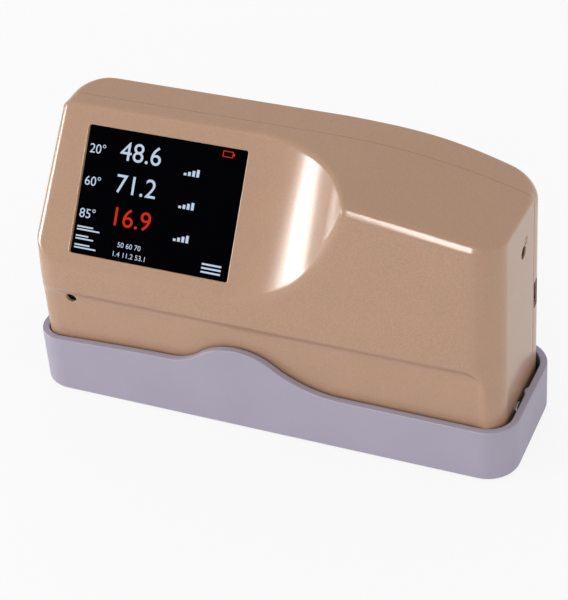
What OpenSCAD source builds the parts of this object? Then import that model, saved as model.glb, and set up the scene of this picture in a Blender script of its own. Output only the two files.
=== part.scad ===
// Three-angle gloss meter standing in its calibration holder.
// X runs along the length, Y from the front to the back and Z up from the table.
// All sizes are millimetres and degrees.

/* [Housing] */
// Length of the housing
body_len = 165; // [158:1:180]
// Depth of the housing above its waist
body_depth = 51; // [50:0.5:58]
// Height of the flat top above the table
body_top = 98.4; // [97:0.2:108]
// Thickness of the moulded walls
wall = 2.2; // [1.8:0.1:2.6]
// Plan radius of the two front corners
front_r = 10; // [9:0.5:12]
// Plan radius of the two rear corners
rear_r = 11; // [9:0.5:13]
// Radius along the top edges
edge_r = 3.5; // [2.8:0.1:4.5]
// Distance of the housing seam behind the middle
seam_y = 12.1; // [10:0.1:14]
// Width of the housing seam
seam_gap = 0.2; // [0.1:0.05:0.4]
// Thickness of the locating lip inside the seam
lip_t = 1.2; // [0.8:0.1:1.6]
// Reach of the locating lip on each side of the seam
lip_reach = 3; // [2:0.5:4]

/* [Falling top] */
// Where the flat top begins to fall
fall_x = 30; // [26:1:36]
// Radius of the bend into the slope
fall_r = 75; // [60:1:90]
// Angle of the falling top
fall_angle = 14.5; // [10:0.5:17]

/* [Screen face] */
// Lean of the screen face from upright
tilt = 35.5; // [33:0.5:37]
// Height of the lower edge of the screen face
face_z = 53.8; // [52:0.2:55]
// Where the hollow beside the screen begins
scoop_x = -9; // [-12:0.5:-6]
// Radius of the hollow beside the screen
scoop_r = 47; // [42:1:52]
// Width of the screen window
win_w = 57.6; // [50:0.2:59]
// Height of the screen window
win_h = 43.2; // [36:0.2:43.4]
// Middle of the screen window along the length
win_x = -39.2; // [-41:0.2:-38]
// Corner radius of the screen window
win_r = 0.8; // [0.5:0.1:2]
// Thickness of the lip around the window
bezel_t = 1.2; // [1:0.1:1.5]
// Thickness of the cover glass
glass_t = 1.4; // [1:0.1:2]
// How far the cover glass reaches behind the window lip
glass_lap = 2.6; // [2:0.1:2.8]
// Thickness of the foam frame behind the glass
gasket_t = 0.8; // [0.5:0.1:1.2]
// Thickness of the display panel
display_t = 3.6; // [2.6:0.1:4]
// Diameter of the display bosses
boss_d = 5; // [4.5:0.1:5.6]

/* [Waist] */
// Height of the upper edge of the waist
waist_z = 42.9; // [41:0.1:45]
// Depth of the waist below the front and back
waist_in = 2.2; // [1.8:0.1:2.8]
// Radius at the upper corners of the waist
waist_r = 9; // [6:0.5:11]

/* [Holder] */
// Wall of the holder
holder_wall = 2.2; // [1.8:0.1:3]
// Thickness of the holder floor
holder_floor = 6; // [5.6:0.1:8]
// Gap between the housing and the long sides of the holder
side_gap = 1; // [0.8:0.1:1.6]
// Gap between the housing and the ends of the holder
end_gap = 2; // [1.6:0.1:3]
// Outer corner radius of the holder
holder_r = 11; // [10:0.2:11.4]
// Height of the rim
rim_z = 20.6; // [18:0.1:26]
// Height of the raised crest
crest_z = 34.3; // [32:0.1:38]
// Middle of the raised crest
crest_x = -9.5; // [-14:0.5:-5]
// Radius of the crest
crest_r = 22; // [18:1:26]
// Radius of the short foot of the crest
short_foot_r = 18; // [14:1:24]
// Radius of the long foot of the crest
long_foot_r = 40; // [34:1:46]
// Gap between the holder floor and the instrument
seat_gap = 0.3; // [0.2:0.05:0.5]
// Length of the calibration tile
tile_len = 90; // [70:1:110]
// Width of the calibration tile
tile_w = 28; // [22:1:34]
// Thickness of the calibration tile
tile_t = 4; // [3:0.1:4.2]
// Thickness of the felt under the tile
felt_t = 0.6; // [0.4:0.1:1]

/* [Optics] */
// Where the light paths meet along the length
aim_x = -9.5; // [-14:0.5:-4]
// Where the light paths lie across the depth
aim_y = -2; // [-3:0.5:0]
// Diameter of the light bores at 20 and 60 degrees
wide_bore = 6.4; // [5:0.1:6.6]
// Diameter of the light bores at 85 degrees
flat_bore = 3; // [2.4:0.1:3.2]
// Ledge around the lenses in the wide bores
wide_ledge = 0.8; // [0.5:0.1:0.9]
// Ledge around the lamps and sensors in the wide bores
seat_ledge = 1; // [0.6:0.1:1.1]
// Ledges in the bores at 85 degrees
flat_ledge = 0.4; // [0.3:0.05:0.5]
// Distance of the lenses at 20 degrees from the measuring spot
lens_at_20 = 24; // [22:0.5:25]
// Distance of the lenses at 60 degrees from the measuring spot
lens_at_60 = 28; // [26:0.5:32]
// Distance of the lenses at 85 degrees from the measuring spot
lens_at_85 = 46; // [44:0.5:48]
// Distance from the lens to the lamp and the sensor at 20 degrees
lamp_gap_20 = 10; // [8:0.5:12]
// Distance from the lens to the lamp and the sensor at 60 degrees
lamp_gap_60 = 18; // [14:0.5:20]
// Distance from the lens to the lamp and the sensor at 85 degrees
lamp_gap_85 = 4; // [3.5:0.1:4.5]
// Length of the lamps
lamp_len = 6; // [4:0.5:7]
// Length of the sensors
sensor_len = 3.5; // [2.5:0.5:5]
// Thickness of the lenses at their rim
lens_t = 2.2; // [1.5:0.1:3]
// Half length of the optical block
block_half = 58; // [57:0.5:62]
// Width of the optical block
block_w = 24; // [20:0.5:27]
// Height of the optical block
block_h = 39.7; // [38:0.1:41]
// Height where the block's shoulders begin
shoulder_h = 15.7; // [14:0.1:18]
// Half length of the block's top
block_top_half = 34; // [31:0.5:38]
// Length of the measuring opening
aperture_len = 54; // [44:1:60]
// Width of the measuring opening
aperture_w = 10; // [8:0.5:14]

/* [Base and chassis] */
// Thickness of the base plate
base_t = 2; // [1.8:0.1:2.2]
// Thickness of the chassis plate
chassis_t = 1.5; // [1.2:0.1:2]
// Thickness of the circuit boards
board_t = 1.6; // [1:0.1:2]
// Length of the battery
battery_len = 36; // [30:1:37]
// Depth of the battery
battery_w = 20; // [16:1:21]
// Height of the battery
battery_h = 30; // [24:1:31]

/* [Button and port] */
// Height of the power button
button_z = 73.8; // [70:0.2:75]
// Place of the power button across the depth
button_y = 0.8; // [-2:0.2:2]
// Diameter of the power button
button_d = 4.8; // [4:0.1:6]
// Travel of the power button
button_travel = 0.8; // [0.4:0.1:0.8]
// Play around the power button
button_play = 0.3; // [0.2:0.05:0.4]
// Height of the charging port
port_z = 48; // [46:0.2:52]
// Place of the charging port across the depth
port_y = 14.9; // [14.8:0.1:15.4]
// Height of the port opening
port_h = 10.6; // [10:0.1:12]
// Width of the port opening
port_w = 4.4; // [4.2:0.1:4.6]
// Place of the sound hole along the length
sound_x = -69.4; // [-70:0.2:-64]
// Height of the sound hole
sound_z = 39; // [37:0.2:39]
// Diameter of the sound hole
sound_d = 3.6; // [2.5:0.1:4.5]
// Diameter of the buzzer
buzzer_d = 12; // [9:0.5:12.5]

/* [Hidden] */
$fn = 64;

// Small overlap for cuts and a length longer than any piece
eps = 0.02;
far = 400;
// Clearance of pieces that drop into a seat
fit = 0.1;

// Housing
half_len = body_len / 2;
half_depth = body_depth / 2;
low_half = half_depth - waist_in;
edge_ease = 0.03;
waist_over = 0.8;
waist_half = half_len - front_r + sqrt(pow(front_r, 2) - pow(front_r - waist_in, 2)) + waist_over;
seat_z = holder_floor + seat_gap;
base_top = seat_z + base_t;
front_seam = seam_y - seam_gap / 2;
rear_seam = seam_y + seam_gap / 2;
lip_in = wall + fit;
bend_end = fall_x + fall_r * sin(fall_angle);
bend_drop = fall_r * (1 - cos(fall_angle));
// Height of the straight falling top
function fall_z(x) = body_top - bend_drop - (x - bend_end) * tan(fall_angle);

// Screen
face_len = (body_top - face_z) / cos(tilt);
win_drop = 0.7;
win_s = face_len / 2 - win_drop;
gasket_y = bezel_t + glass_t;
display_y = gasket_y + gasket_t;
bracket_y = display_y + display_t;
bracket_t = 1;
glass_r = 1;
gasket_in = 0.3;
gasket_r = 0.5;
display_side = 5.8;
display_rim = 3.2;
display_w = win_w + 2 * display_side;
display_h = win_h + 2 * display_rim;
boss_gap = 0.7;
bracket_dx = display_w / 2 + boss_d / 2 + boss_gap;
bracket_drop = 4;
bracket_ds = win_h / 2 - bracket_drop;
bracket_frame = [8, 9];
bracket_r = 3;
// Room kept clear round the screen pieces
room_gap = 0.5;

// Holder
holder_in_y = low_half + side_gap;
holder_in_x = half_len + end_gap;
holder_len = 2 * (holder_in_x + holder_wall);
holder_depth = 2 * (holder_in_y + holder_wall);
tile_fit = 0.3;
tile_r = 1;

// Fasteners: shank, head diameter and head height
m2 = [2, 3.8, 1.3];
m3 = [3, 5.4, 1.8];
screw_play = 0.2;
small_screw_len = 5;
plate_screw_len = 6;
base_screw_len = 10;
end_screw_len = 8;
bore_over = 1;
bore_deep = 2;
// Posts for the base screws, and the turn from the end at which they stand in their corners
post_d = 7;
post_h = 12;
post_turn = 30;
post_gap = 0.6;

// Optics: bores, lenses and seats of the three paths
angles = [20, 60, 85];
bore_d = [wide_bore, wide_bore, flat_bore];
lens_d = bore_d + 2 * [wide_ledge, wide_ledge, flat_ledge];
seat_d = lens_d + 2 * [seat_ledge, seat_ledge, flat_ledge];
lens_at = [lens_at_20, lens_at_60, lens_at_85];
lamp_at = lens_at + [lamp_gap_20, lamp_gap_60, lamp_gap_85];
lead_d = 0.6;
lead_len = 2;
aperture_r = 2;
aperture_rise = 2;
block_top = base_top + block_h;
foot_t = 3;
foot_w = 14;
foot_in = 10;
foot_x = block_half - foot_in;
foot_gap = 0.1;
foot_half = low_half - wall - foot_gap + aim_y;
foot_edge = 3.5;
foot_y = foot_half - foot_edge;

// Chassis and battery
chassis_over = 8;
chassis_end = 14;
chassis_gap = 2;
lip_gap = 1;
chassis_top = block_top + chassis_t;
chassis_x0 = aim_x - block_top_half - chassis_over;
chassis_x1 = half_len - chassis_end;
chassis_y0 = -low_half + wall + chassis_gap;
chassis_y1 = seam_y - lip_reach - lip_gap;
battery_end = 20.5;
battery_shift = 1;
battery_r = 3;
battery_x = half_len - battery_end - battery_len / 2;
battery_y = aim_y - battery_shift;
standoff_d = 6;
standoff_end = 16.5;
standoff_x = half_len - standoff_end;
standoff_in = 4;
standoff_y = [chassis_y0 + standoff_in, chassis_y1 - standoff_in];
plate_screw_in = 3.5;
plate_screw_x = block_top_half - plate_screw_in;

// Boards: holes lie in from the edges, and chips give place, size and height
board_r = 1;
sensor_w = 52;
sensor_d = 20;
sensor_lift = 1.5;
sensor_edge = 3;
sensor_hole = [sensor_w / 2 - sensor_edge, sensor_d / 2 - sensor_edge];
sensor_chip = [9, 7, 1.6];
sensor_chip_x = [-12, 4];
main_w = 126;
main_h = 34;
main_x = -6;
main_gap = 2.6;
main_lift = 4;
main_edge = 5;
main_y = seam_y + main_gap;
main_z = chassis_top + main_lift + main_h / 2;
main_hole = [main_w / 2 - main_edge, main_h / 2 - main_edge];
main_chips = [[-38, 2, 14, 14, 2], [-8, -4, 20, 16, 2.4], [24, 3, 10, 10, 1.8], [44, -4, 12, 8, 2.6]];
side_in = 11.5;
side_front = 8.5;
side_over = 4;
side_margin = 9;
side_edge = 3.2;
side_low = 12;
side_x = half_len - side_in;
side_y0 = -side_front;
side_y1 = port_y + side_over;
side_z0 = port_z - side_margin;
side_z1 = button_z + side_margin;
side_hole_y = side_y0 + side_edge;
side_hole_z = [side_z0 + side_low, side_z1 - side_edge];

// Button, switch, port and buzzer
flange_t = 1;
flange_lap = 1.3;
stem_d = 2.4;
stem_len = 2;
switch_w = 6;
switch_r = 0.5;
plunger_d = 3.4;
plunger_h = 0.8;
port_r = 1;
port_depth = 6;
socket_in = 0.6;
socket_w = 3.4;
socket_h = 9.2;
socket_r = 1.4;
socket_t = 0.4;
socket_depth = 6;
tongue_w = 0.7;
tongue_h = 6.6;
tongue_in = 0.6;
ring_t = 1.2;
ring_h = 3;
buzzer_h = 5.5;
buzzer_hole_d = 2;
buzzer_hole_deep = 2;

// End screws and the lugs of the base plate that take them
end_screw_y = -5.3;
end_screw_z = 14.7;
lug_w = 12;
lug_x = 7;
lug_over = 4;

// Two-dimensional outlines

module round_rect(w, h, r) {
    square([w - 2 * r, h], center = true);
    square([w, h - 2 * r], center = true);
    for (sx = [-1, 1], sy = [-1, 1])
        translate([sx * (w / 2 - r), sy * (h / 2 - r)])
            circle(r);
}

// One half of the housing's plan, from the middle line out to a long side at y = -depth
module plan_half(r, inset) {
    translate([-(half_len - r), -(half_depth - inset)])
        square([2 * (half_len - r), half_depth - inset + eps]);
    translate([-(half_len - inset), -(half_depth - r)])
        square([2 * (half_len - inset), half_depth - r + eps]);
    for (side = [-1, 1])
        translate([side * (half_len - r), -(half_depth - r)])
            circle(r - inset);
}

module body_plan(inset) {
    plan_half(front_r, inset);
    mirror([0, 1])
        plan_half(rear_r, inset);
}

// Side view of the outside: flat top, bend, falling top and rounded ends
module side_profile() {
    slope = [sin(fall_angle), cos(fall_angle)];
    left = [-half_len + edge_r, body_top - edge_r];
    nose_x = half_len - edge_r;
    nose = [nose_x, fall_z(nose_x) - edge_r / cos(fall_angle)];
    polygon([
        [-half_len, -far], [half_len, -far], [half_len, nose[1]], nose, nose + edge_r * slope,
        [bend_end, body_top - bend_drop], [fall_x, body_top],
        [left[0], body_top], left, [-half_len, left[1]]
    ]);
    translate(left)
        circle(edge_r);
    translate(nose)
        circle(edge_r);
    intersection() {
        translate([fall_x, body_top - fall_r])
            circle(fall_r);
        translate([fall_x, body_top - fall_r])
            square([bend_end - fall_x, 2 * fall_r]);
    }
}

// Side view of the space inside: plain corners and one crease under the bend
module inner_profile(inset) {
    top = body_top - inset;
    end = half_len - inset;
    drop = inset / cos(fall_angle);
    crease = bend_end - (bend_drop + drop - inset) / tan(fall_angle);
    polygon([[-end, -far], [end, -far], [end, fall_z(end) - drop], [crease, top], [-end, top]]);
}

// Placement helpers

// Screen face: x along the length, y inwards from the face, z up the slope
module on_face() {
    translate([0, -half_depth, face_z])
        rotate([-tilt, 0, 0])
            children();
}

// One light path of the optics: z runs outwards from the measuring spot
module on_beam(i, side, at) {
    translate([aim_x, aim_y, seat_z])
        rotate([0, side * angles[i], 0])
            translate([0, 0, at])
                children();
}

// An upright outline pushed through from y0 to y1
module through(y0, y1) {
    translate([0, y1, 0])
        rotate([90, 0, 0])
            linear_extrude(y1 - y0)
                children();
}

// Housing form

// What the screen face and the hollow beside it take away
module scoop_cut(inset) {
    on_face()
        translate([0, 0, -far / 4])
            linear_extrude(far / 2) {
                translate([scoop_x - far / 2, -2 * scoop_r])
                    square([far / 2, 2 * scoop_r + inset]);
                translate([scoop_x, -scoop_r])
                    circle(scoop_r + inset);
            }
}

// What the waist takes away from one long side
module waist_cut(inset) {
    through(-half_depth - 1, -(low_half - inset))
        round_rect(2 * (waist_half + inset), 2 * (waist_z + inset), waist_r + inset);
}

// Section of the material outside a rounded edge, whose arc meets both faces a few degrees off tangent
module edge_section() {
    centre = edge_r - edge_ease;
    difference() {
        translate([-centre, -centre])
            square(edge_r + 1);
        translate([-centre, -centre])
            circle(edge_r);
    }
}

// Rounding along one long top edge, over the flat, the bend and the slope
module long_edge_cut() {
    translate([-half_len, half_depth, body_top])
        rotate([90, 0, 90])
            linear_extrude(half_len + fall_x)
                edge_section();
    translate([fall_x, 0, body_top - fall_r])
        rotate([90, 0, 0])
            rotate([0, 0, 90 - fall_angle])
                rotate_extrude(angle = fall_angle, $fn = 128)
                    translate([fall_r, -half_depth])
                        rotate(-90)
                            edge_section();
    translate([bend_end, half_depth, body_top - bend_drop])
        rotate([0, fall_angle, 0])
            rotate([90, 0, 90])
                linear_extrude(half_len)
                    edge_section();
}

// Rounding over one plan corner of the top, leaning with the falling top at the right
module top_corner(side, back, r) {
    lean = side > 0 ? fall_angle : 0;
    x = half_len - r;
    z = side > 0 ? fall_z(x) : body_top;
    mirror([side > 0 ? 0 : 1, 0, 0])
        mirror([0, back > 0 ? 0 : 1, 0])
            translate([x, half_depth - r, z - edge_r / cos(lean)])
                rotate([0, lean, 0])
                    rotate_extrude(angle = 90)
                        translate([r / cos(lean), edge_r])
                            edge_section();
}

module body_form(inset, z0) {
    difference() {
        intersection() {
            translate([0, 0, z0])
                linear_extrude(body_top)
                    body_plan(inset);
            through(-far / 2, far / 2)
                if (inset > 0)
                    inner_profile(inset);
                else
                    side_profile();
        }
        scoop_cut(inset);
        waist_cut(inset);
        mirror([0, 1, 0])
            waist_cut(inset);
    }
}

// The whole outside of the housing with its rounded top edges
module body_outside() {
    difference() {
        body_form(0, base_top);
        long_edge_cut();
        mirror([0, 1, 0])
            long_edge_cut();
        top_corner(1, 1, rear_r);
        top_corner(1, -1, front_r);
        top_corner(-1, 1, rear_r);
    }
}

// The part of a piece in front of or behind a plane across the depth
module slab(y0, y1) {
    translate([-far / 2, y0, -far / 2])
        cube([far, y1 - y0, far]);
}

// Fasteners

module screw(size, len) {
    translate([0, 0, -size[2] / 2])
        cylinder(d = size[0], h = len + size[2] / 2);
    translate([0, 0, -size[2]])
        cylinder(d = size[1], h = size[2]);
}

module flat_screw(size, len) {
    cylinder(d = size[0], h = len);
    cylinder(d1 = size[1], d2 = size[0], h = size[2]);
}

// Base screw posts stand in the plan corners of the housing
function post_at(side, back) =
    let (r = back > 0 ? rear_r : front_r, d = r - wall / 2 - post_d / 2)
    [side * (half_len - r + d * cos(post_turn)), back * (half_depth - r + d * sin(post_turn))];

module screw_posts(back, over) {
    for (side = [-1, 1])
        translate(post_at(side, back))
            translate([0, 0, base_top])
                cylinder(d = post_d + 2 * over, h = post_h + over);
}

module screw_post_bores(back) {
    for (side = [-1, 1])
        translate(post_at(side, back))
            translate([0, 0, base_top - bore_over])
                cylinder(d = m3[0] + screw_play, h = base_screw_len - base_t + bore_over + bore_deep / 2);
}

// Places of the screws, with z along the screw from under its head
module at_main_holes() {
    for (sx = [-1, 1], sz = [-1, 1])
        translate([main_x + sx * main_hole[0], main_y, main_z + sz * main_hole[1]])
            rotate([-90, 0, 0])
                children();
}

module at_bracket_holes() {
    on_face()
        for (sx = [-1, 1], ss = [-1, 1])
            translate([win_x + sx * bracket_dx, bracket_y + bracket_t, win_s + ss * bracket_ds])
                rotate([90, 0, 0])
                    children();
}

module at_side_holes() {
    for (z = side_hole_z)
        translate([side_x, side_hole_y, z])
            rotate([0, 90, 0])
                children();
}

module at_chassis_holes() {
    for (sx = [-1, 1])
        translate([aim_x + sx * plate_screw_x, aim_y, chassis_top])
            rotate([180, 0, 0])
                children();
    for (y = standoff_y)
        translate([standoff_x, y, chassis_top])
            rotate([180, 0, 0])
                children();
}

module at_sensor_holes() {
    for (sx = [-1, 1], sy = [-1, 1])
        translate([aim_x + sx * sensor_hole[0], aim_y + sy * sensor_hole[1], chassis_top + sensor_lift + board_t])
            rotate([180, 0, 0])
                children();
}

module at_foot_holes() {
    for (sx = [-1, 1], sy = [-1, 1])
        translate([
            aim_x + sx * foot_x,
            aim_y + sy * foot_y,
            base_top + foot_t
        ])
            rotate([180, 0, 0])
                children();
}

module at_end_holes() {
    for (side = [0, 180])
        rotate([0, 0, side])
            translate([half_len, side == 0 ? end_screw_y : -end_screw_y, end_screw_z])
                rotate([0, -90, 0])
                    children();
}

// Holder

// Outline of the holder's long sides with the raised crest
module crest_profile() {
    crown = [crest_x, crest_z - crest_r];
    rise_short = rim_z + short_foot_r - crown[1];
    rise_long = rim_z + long_foot_r - crown[1];
    short_x = crest_x - sqrt(pow(crest_r + short_foot_r, 2) - pow(rise_short, 2));
    long_x = crest_x + sqrt(pow(crest_r + long_foot_r, 2) - pow(rise_long, 2));
    short_t = crown + ([short_x, rim_z + short_foot_r] - crown) * crest_r / (crest_r + short_foot_r);
    long_t = crown + ([long_x, rim_z + long_foot_r] - crown) * crest_r / (crest_r + long_foot_r);
    translate([-holder_len / 2 - 1, 0])
        square([holder_len + 2, rim_z]);
    intersection() {
        translate(crown)
            circle(crest_r);
        translate([short_t[0], 0])
            square([long_t[0] - short_t[0], crest_z + 1]);
    }
    difference() {
        translate([short_x, 0])
            square([short_t[0] - short_x + eps, short_t[1]]);
        translate([short_x, rim_z + short_foot_r])
            circle(short_foot_r);
    }
    difference() {
        translate([long_t[0] - eps, 0])
            square([long_x - long_t[0] + eps, long_t[1]]);
        translate([long_x, rim_z + long_foot_r])
            circle(long_foot_r);
    }
}

module holder_tray() {
    color("#a79fb0")
        difference() {
            intersection() {
                linear_extrude(crest_z + 1)
                    round_rect(holder_len, holder_depth, holder_r);
                through(-far / 2, far / 2)
                    crest_profile();
            }
            translate([0, 0, holder_floor])
                linear_extrude(crest_z)
                    round_rect(2 * holder_in_x, 2 * holder_in_y, holder_r - holder_wall);
            translate([aim_x, aim_y, holder_floor - tile_t - felt_t])
                linear_extrude(far)
                    round_rect(tile_len + 2 * tile_fit, tile_w + 2 * tile_fit, tile_r + tile_fit);
        }
}

module calibration_tile() {
    color("#101014")
        translate([aim_x, aim_y, holder_floor - tile_t])
            linear_extrude(tile_t)
                round_rect(tile_len, tile_w, tile_r);
}

module tile_felt() {
    color("#3a3a3c")
        translate([aim_x, aim_y, holder_floor - tile_t - felt_t])
            linear_extrude(felt_t)
                round_rect(tile_len, tile_w, tile_r);
}

// Housing pieces

// Opening of the screen window and the seat of the cover glass
module screen_cuts() {
    on_face() {
        translate([win_x, bezel_t + eps, win_s])
            rotate([90, 0, 0])
                linear_extrude(far / 4)
                    round_rect(win_w, win_h, win_r);
        translate([win_x, gasket_y + far / 40, win_s])
            rotate([90, 0, 0])
                linear_extrude(glass_t + far / 40)
                    round_rect(win_w + 2 * glass_lap + 2 * fit, win_h + 2 * glass_lap + 2 * fit, glass_r);
    }
}

module front_bosses() {
    screw_posts(-1, 0);
    on_face()
        for (sx = [-1, 1], ss = [-1, 1])
            translate([win_x + sx * bracket_dx, wall / 2, win_s + ss * bracket_ds])
                rotate([-90, 0, 0])
                    cylinder(d = boss_d, h = bracket_y - wall / 2);
    for (z = side_hole_z)
        translate([side_x + board_t, side_hole_y, z])
            rotate([0, 90, 0])
                cylinder(d = boss_d, h = half_len - wall / 2 - side_x - board_t);
    translate([sound_x, -low_half + wall / 2, sound_z])
        rotate([-90, 0, 0])
            difference() {
                cylinder(d = buzzer_d + 2 * fit + 2 * ring_t, h = ring_h + wall / 2);
                translate([0, 0, wall / 2])
                    cylinder(d = buzzer_d + 2 * fit, h = far);
            }
}

module front_shell() {
    color("#c39f7d")
        difference() {
            union() {
                difference() {
                    intersection() {
                        body_outside();
                        slab(-far / 2, front_seam);
                    }
                    body_form(wall, -1);
                }
                front_bosses();
            }
            screen_cuts();
            screw_post_bores(-1);
            at_bracket_holes()
                cylinder(d = m2[0] + screw_play, h = bracket_y + bracket_t - wall);
            at_side_holes()
                cylinder(d = m2[0] + screw_play, h = small_screw_len + bore_deep);
            translate([half_len - 2 * wall, button_y, button_z])
                rotate([0, 90, 0])
                    cylinder(d = button_d + 2 * button_play, h = far);
            translate([sound_x, -half_depth, sound_z])
                rotate([-90, 0, 0])
                    cylinder(d = sound_d, h = waist_in + wall + bore_over);
            at_end_holes() {
                translate([0, 0, -bore_over])
                    cylinder(d = m3[1] + 2 * screw_play, h = bore_over + m3[2] - wall / 2);
                cylinder(d = m3[0] + screw_play, h = 2 * wall);
            }
        }
}

// Room of the screen pieces behind the screen face
module screen_room() {
    on_face()
        translate([win_x - display_w / 2 - room_gap, 0, win_s - display_h / 2 - room_gap])
            cube([display_w + 2 * room_gap, bracket_y + bracket_t + room_gap, display_h + 2 * room_gap]);
}

// Locating lip inside the seam, notched round the screw posts and clear of the screen pieces
module seam_lip() {
    difference() {
        union() {
            difference() {
                intersection() {
                    body_form(lip_in, base_top);
                    slab(front_seam - lip_reach, rear_seam + lip_reach);
                }
                body_form(lip_in + lip_t, -1);
            }
            difference() {
                intersection() {
                    body_form(wall - eps, base_top);
                    slab(rear_seam, rear_seam + lip_reach);
                }
                body_form(lip_in + lip_t / 2, -1);
            }
        }
        screw_posts(1, post_gap);
        screen_room();
    }
}

module rear_cover() {
    color("#bb9674")
        difference() {
            union() {
                difference() {
                    intersection() {
                        body_outside();
                        slab(rear_seam, far / 2);
                    }
                    body_form(wall, -1);
                }
                seam_lip();
                screw_posts(1, 0);
                at_main_holes()
                    translate([0, 0, board_t])
                        cylinder(d = boss_d, h = half_depth - wall / 2 - main_y - board_t);
            }
            screw_post_bores(1);
            at_main_holes()
                cylinder(d = m2[0] + screw_play, h = small_screw_len + bore_over);
            translate([half_len - port_depth, port_y, port_z])
                rotate([90, 0, 90])
                    linear_extrude(far)
                        round_rect(port_w, port_h, port_r);
        }
}

module base_plate() {
    color("#2c2c2e")
        difference() {
            union() {
                translate([0, 0, seat_z])
                    linear_extrude(base_t)
                        intersection() {
                            body_plan(0);
                            square([body_len, 2 * low_half], center = true);
                        }
                for (side = [-1, 1])
                    translate([side * (half_len - wall - fit - lug_x / 2), end_screw_y, base_top - eps])
                        linear_extrude(end_screw_z + lug_over - base_top)
                            square([lug_x, lug_w], center = true);
            }
            translate([aim_x, aim_y, 0])
                linear_extrude(far / 4)
                    round_rect(aperture_len, aperture_w, aperture_r);
            for (side = [-1, 1])
                on_beam(2, side, 0)
                    cylinder(d = bore_d[2], h = lens_at[2]);
            for (side = [-1, 1], back = [-1, 1])
                translate(post_at(side, back))
                    translate([0, 0, seat_z - eps]) {
                        cylinder(d = m3[0] + screw_play, h = base_t + bore_over);
                        cylinder(d1 = m3[1] + screw_play, d2 = m3[0] + screw_play, h = m3[2]);
                    }
            at_foot_holes()
                cylinder(d = m3[0] + screw_play, h = far / 4);
            at_end_holes()
                cylinder(d = m3[0] + screw_play, h = lug_x + wall);
            for (y = standoff_y)
                translate([standoff_x, y, 0])
                    cylinder(d = m3[0] + screw_play, h = far / 4);
        }
}

module base_screws() {
    color("#8d8f94")
        for (side = [-1, 1], back = [-1, 1])
            translate(post_at(side, back))
                translate([0, 0, seat_z])
                    flat_screw(m3, base_screw_len);
}

module end_screws() {
    color("#c9ccd1")
        at_end_holes()
            translate([0, 0, m3[2] - wall / 2])
                screw(m3, end_screw_len);
}

// Screen pieces

module screen_glass() {
    color("#0b0c12")
        on_face()
            translate([win_x, gasket_y, win_s])
                rotate([90, 0, 0])
                    linear_extrude(glass_t)
                        round_rect(win_w + 2 * glass_lap, win_h + 2 * glass_lap, glass_r);
}

module screen_gasket() {
    color("#222222")
        on_face()
            translate([win_x, display_y, win_s])
                rotate([90, 0, 0])
                    linear_extrude(gasket_t)
                        difference() {
                            round_rect(win_w + 2 * glass_lap, win_h + 2 * glass_lap, glass_r);
                            round_rect(win_w + 2 * gasket_in, win_h + 2 * gasket_in, gasket_r);
                        }
}

module display_panel() {
    color("#9a9da3")
        on_face()
            translate([win_x, bracket_y, win_s])
                rotate([90, 0, 0])
                    linear_extrude(display_t)
                        round_rect(display_w, display_h, glass_r);
}

module display_bracket() {
    ear = boss_d + 1;
    color("#a8abb0")
        difference() {
            on_face()
                translate([win_x, bracket_y + bracket_t, win_s])
                    rotate([90, 0, 0])
                        linear_extrude(bracket_t)
                            difference() {
                                union() {
                                    round_rect(display_w, display_h, glass_r);
                                    for (ss = [-1, 1])
                                        translate([0, ss * bracket_ds])
                                            round_rect(2 * bracket_dx + ear, ear, ear / 2 - eps);
                                }
                                round_rect(
                                    display_w - 2 * bracket_frame[0],
                                    display_h - 2 * bracket_frame[1],
                                    bracket_r
                                );
                            }
            at_bracket_holes()
                translate([0, 0, -bore_over])
                    cylinder(d = m2[0] + screw_play, h = bracket_t + 2 * bore_over);
        }
}

// Boards and what they carry

module main_board() {
    color("#1f5a3a")
        difference() {
            union() {
                translate([main_x, main_y, main_z])
                    translate([-main_w / 2, 0, -main_h / 2])
                        cube([main_w, board_t, main_h]);
                for (c = main_chips)
                    translate([main_x + c[0], main_y - c[4] / 2, main_z + c[1]])
                        cube([c[2], c[4] + eps, c[3]], center = true);
            }
            at_main_holes()
                translate([0, 0, -bore_over])
                    cylinder(d = m2[0] + screw_play, h = board_t + 2 * bore_over);
        }
}

module sensor_board() {
    color("#1f5a3a")
        difference() {
            union() {
                translate([aim_x, aim_y, chassis_top + sensor_lift])
                    linear_extrude(board_t)
                        round_rect(sensor_w, sensor_d, board_r);
                for (dx = sensor_chip_x)
                    translate([aim_x + dx, aim_y, chassis_top + sensor_lift + board_t - eps])
                        linear_extrude(sensor_chip[2])
                            square([sensor_chip[0], sensor_chip[1]], center = true);
            }
            at_sensor_holes()
                translate([0, 0, -bore_over])
                    cylinder(d = m2[0] + screw_play, h = board_t + 2 * bore_over);
        }
}

module side_board() {
    color("#1f5a3a")
        difference() {
            translate([side_x, side_y0, side_z0])
                cube([board_t, side_y1 - side_y0, side_z1 - side_z0]);
            at_side_holes()
                translate([0, 0, -bore_over])
                    cylinder(d = m2[0] + screw_play, h = board_t + 2 * bore_over);
        }
}

module chassis_plate() {
    color("#b3b5b8")
        difference() {
            union() {
                translate([chassis_x0, chassis_y0, block_top])
                    cube([chassis_x1 - chassis_x0, chassis_y1 - chassis_y0, chassis_t]);
                at_sensor_holes()
                    translate([0, 0, board_t])
                        cylinder(d = boss_d, h = sensor_lift + eps);
            }
            at_chassis_holes()
                translate([0, 0, -bore_over])
                    cylinder(d = m3[0] + screw_play, h = chassis_t + 2 * bore_over);
            at_sensor_holes()
                cylinder(d = m2[0] + screw_play, h = far / 40);
        }
}

module standoffs() {
    color("#c4a35a")
        for (y = standoff_y)
            translate([standoff_x, y, base_top])
                difference() {
                    cylinder(d = standoff_d, h = block_h);
                    translate([0, 0, block_h - plate_screw_len - bore_deep])
                        cylinder(d = m3[0] + screw_play, h = far);
                }
}

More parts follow.
